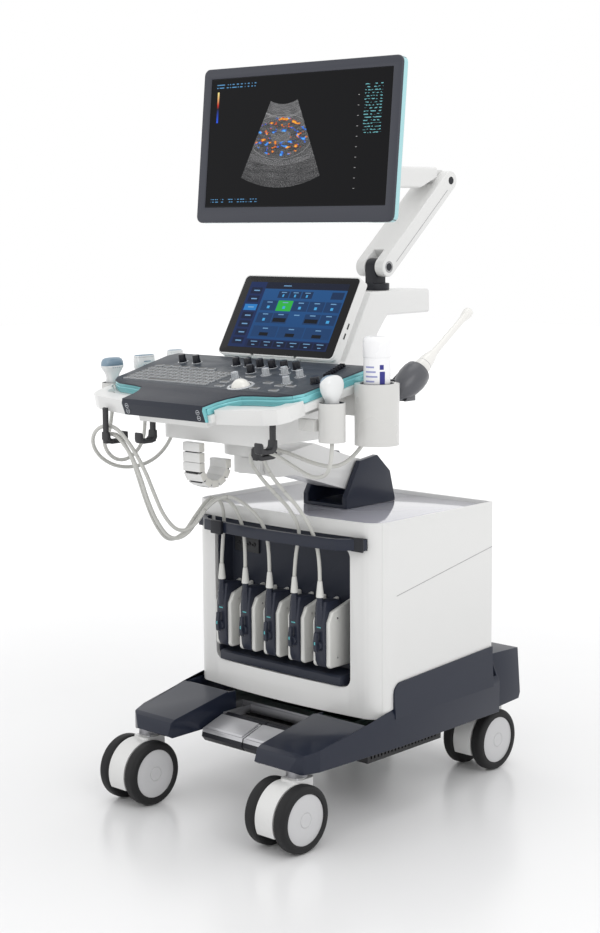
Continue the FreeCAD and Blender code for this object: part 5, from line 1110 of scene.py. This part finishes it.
# ------------------------------------------------------------------ probe cables
# Five limp grey cables, 8.5 mm thick. Each rises from its plug's boot behind the bar, crosses the
# lift head, hangs in a loop, goes over a hook and ends in its probe's holder.
CABLE_D = 0.0085
BOOT_TOP = 0.535
RING_STEP = 0.005
SPLIT_LONG = 0.056
cable_grey = moulded("cable_grey", (0.56, 0.56, 0.53), 0.42, grain=0.00004, drift=0.04)
UP_LEFT = Vector((-0.5, -0.4, 0.77))
UP_FRONT = Vector((0.41, -0.57, 0.71))
plug_x = [-0.162 + 0.077 * i for i in range(5)]
ROUTES = {
    "convex": (4, UP_LEFT, 0.13, [
        (plug_x[0], -0.158, BOOT_TOP), (-0.160, -0.156, 0.588), (-0.154, -0.154, 0.640), (-0.152, -0.168, 0.690),
        (-0.150, -0.206, 0.700), (-0.158, -0.242, 0.662), (-0.176, -0.266, 0.616), (-0.190, -0.302, 0.604),
        (-0.192, -0.338, 0.648), (-0.184, -0.370, 0.702), (-0.172, -0.400, 0.756), (-0.168, -0.424, 0.812),
        (-0.200, -0.430, 0.858), (-0.248, -0.412, 0.858), (-0.292, -0.384, 0.848), (-0.324, -0.348, 0.866),
        (-0.326, -0.338, 0.916)]),
    "linear": (4, UP_LEFT, 0.13, [
        (plug_x[1], -0.158, BOOT_TOP), (-0.086, -0.156, 0.588), (-0.098, -0.154, 0.640), (-0.116, -0.170, 0.690),
        (-0.128, -0.212, 0.702), (-0.140, -0.246, 0.664), (-0.156, -0.272, 0.618), (-0.172, -0.310, 0.610),
        (-0.176, -0.348, 0.658), (-0.168, -0.382, 0.714), (-0.158, -0.410, 0.770), (-0.158, -0.438, 0.826),
        (-0.204, -0.444, 0.868), (-0.256, -0.430, 0.850), (-0.286, -0.396, 0.812), (-0.308, -0.346, 0.784),
        (-0.322, -0.292, 0.782), (-0.326, -0.248, 0.814), (-0.326, -0.240, 0.866), (-0.326, -0.240, 0.916)]),
    "phased": (4, UP_LEFT, 0.13, [
        (plug_x[2], -0.158, BOOT_TOP), (-0.010, -0.156, 0.588), (-0.026, -0.154, 0.640), (-0.062, -0.170, 0.684),
        (-0.098, -0.200, 0.710), (-0.122, -0.236, 0.690), (-0.136, -0.268, 0.640), (-0.150, -0.306, 0.630),
        (-0.154, -0.346, 0.672), (-0.148, -0.380, 0.730), (-0.142, -0.410, 0.784), (-0.150, -0.440, 0.840),
        (-0.202, -0.444, 0.884), (-0.258, -0.446, 0.874), (-0.300, -0.428, 0.836), (-0.318, -0.388, 0.794),
        (-0.318, -0.334, 0.766), (-0.314, -0.272, 0.762), (-0.318, -0.212, 0.776), (-0.324, -0.162, 0.812),
        (-0.326, -0.142, 0.862), (-0.326, -0.142, 0.916)]),
    "volume": (4, UP_FRONT, 0.09, [
        (plug_x[3], -0.158, BOOT_TOP), (0.071, -0.156, 0.588), (0.086, -0.154, 0.640), (0.076, -0.176, 0.690),
        (0.062, -0.212, 0.730), (0.052, -0.250, 0.772), (0.058, -0.288, 0.812), (0.092, -0.306, 0.842),
        (0.144, -0.298, 0.834), (0.192, -0.284, 0.806), (0.242, -0.282, 0.788), (0.290, -0.294, 0.800),
        (0.316, -0.308, 0.832), (0.316, -0.306, 0.874)]),
    "endocavity": (4, UP_FRONT, 0.08, [
        (plug_x[4], -0.158, BOOT_TOP), (0.144, -0.156, 0.588), (0.124, -0.154, 0.640), (0.104, -0.174, 0.692),
        (0.086, -0.208, 0.736), (0.074, -0.242, 0.780), (0.082, -0.272, 0.824), (0.120, -0.286, 0.844),
        (0.168, -0.270, 0.832), (0.214, -0.246, 0.812), (0.262, -0.226, 0.806), (0.296, -0.200, 0.840),
        (0.306, -0.170, 0.890), (0.322, -0.150, 0.934), (0.334, -0.117, 0.955)]),
}


def centreline(points):
    """A smooth line that runs from one leg's middle to the next, rounding each corner; ends stay put."""
    pts = [Vector(p) for p in points]
    fine = [pts[0]]
    for i in range(1, len(pts) - 1):
        start = pts[0] if i == 1 else (pts[i - 1] + pts[i]) / 2
        end = pts[-1] if i == len(pts) - 2 else (pts[i] + pts[i + 1]) / 2
        for k in range(1, 25):
            t = k / 24
            fine.append(start * (1 - t) ** 2 + pts[i] * (2 * t * (1 - t)) + end * t ** 2)
    even, left = [fine[0]], RING_STEP
    for a, b in zip(fine, fine[1:]):
        gap = (b - a).length
        while gap >= left:
            a = a + (b - a) * (left / gap)
            even.append(a)
            gap, left = (b - a).length, RING_STEP
        left -= gap
    return even[:-1] + [fine[-1]]


def tube(bm, line, frames, sides=14):
    """A round tube along a line; each ring is placed on its own frame, so that two tubes can join."""
    rings = []
    for spot, (u, w) in zip(line, frames):
        rings.append([bm.verts.new(spot + (u * math.cos(t) + w * math.sin(t)) * CABLE_D / 2)
                      for t in (math.tau * i / sides for i in range(sides))])
    for low, high in zip(rings, rings[1:]):
        for i in range(sides):
            bm.faces.new((low[i], low[(i + 1) % sides], high[(i + 1) % sides], high[i]))
    bm.faces.new(rings[0][::-1])
    bm.faces.new(rings[-1])


def nearest(line, spot):
    return min(range(len(line)), key=lambda i: (line[i] - Vector(spot)).length)


for kind, (top, way, fade, points) in ROUTES.items():
    line = centreline(points)
    across = Vector((1, 0, 0))
    frames = []
    for i, spot in enumerate(line):
        ahead = (line[min(i + 1, len(line) - 1)] - line[max(i - 1, 0)]).normalized()
        across = (across - ahead * across.dot(ahead)).normalized()
        frames.append((across.copy(), ahead.cross(across)))
    first = nearest(line, points[top])
    second = first + math.ceil(SPLIT_LONG / RING_STEP)
    parts = [(0, first, "base", "lift_arm"), (first, second, "lift_arm", "arm_head"),
             (second, len(line) - 1, "arm_head", "console")]
    for number, (a, b, below, above) in enumerate(parts):
        bm = bmesh.new()
        part = line[a:b + 1]
        tube(bm, part, frames[a:b + 1])
        strand = piece(f"cable_{kind}_{number + 1}", bm, cable_grey, None,
                       (f"cable_{kind}",) if number == 2 else ())
        if number < 2:
            lean = (part[-1] - part[0]).normalized()
            reach = (part[-1] - part[0]).length
            part[0] + lean * 0.010
            part[0] + lean * (reach - 0.010)
            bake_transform(strand)
        else:
            lean = way.normalized()
            part[0] + lean * 0.008
            part[0] + lean * fade
            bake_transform(strand)
        length = sum((q - p).length for p, q in zip(part, part[1:]))
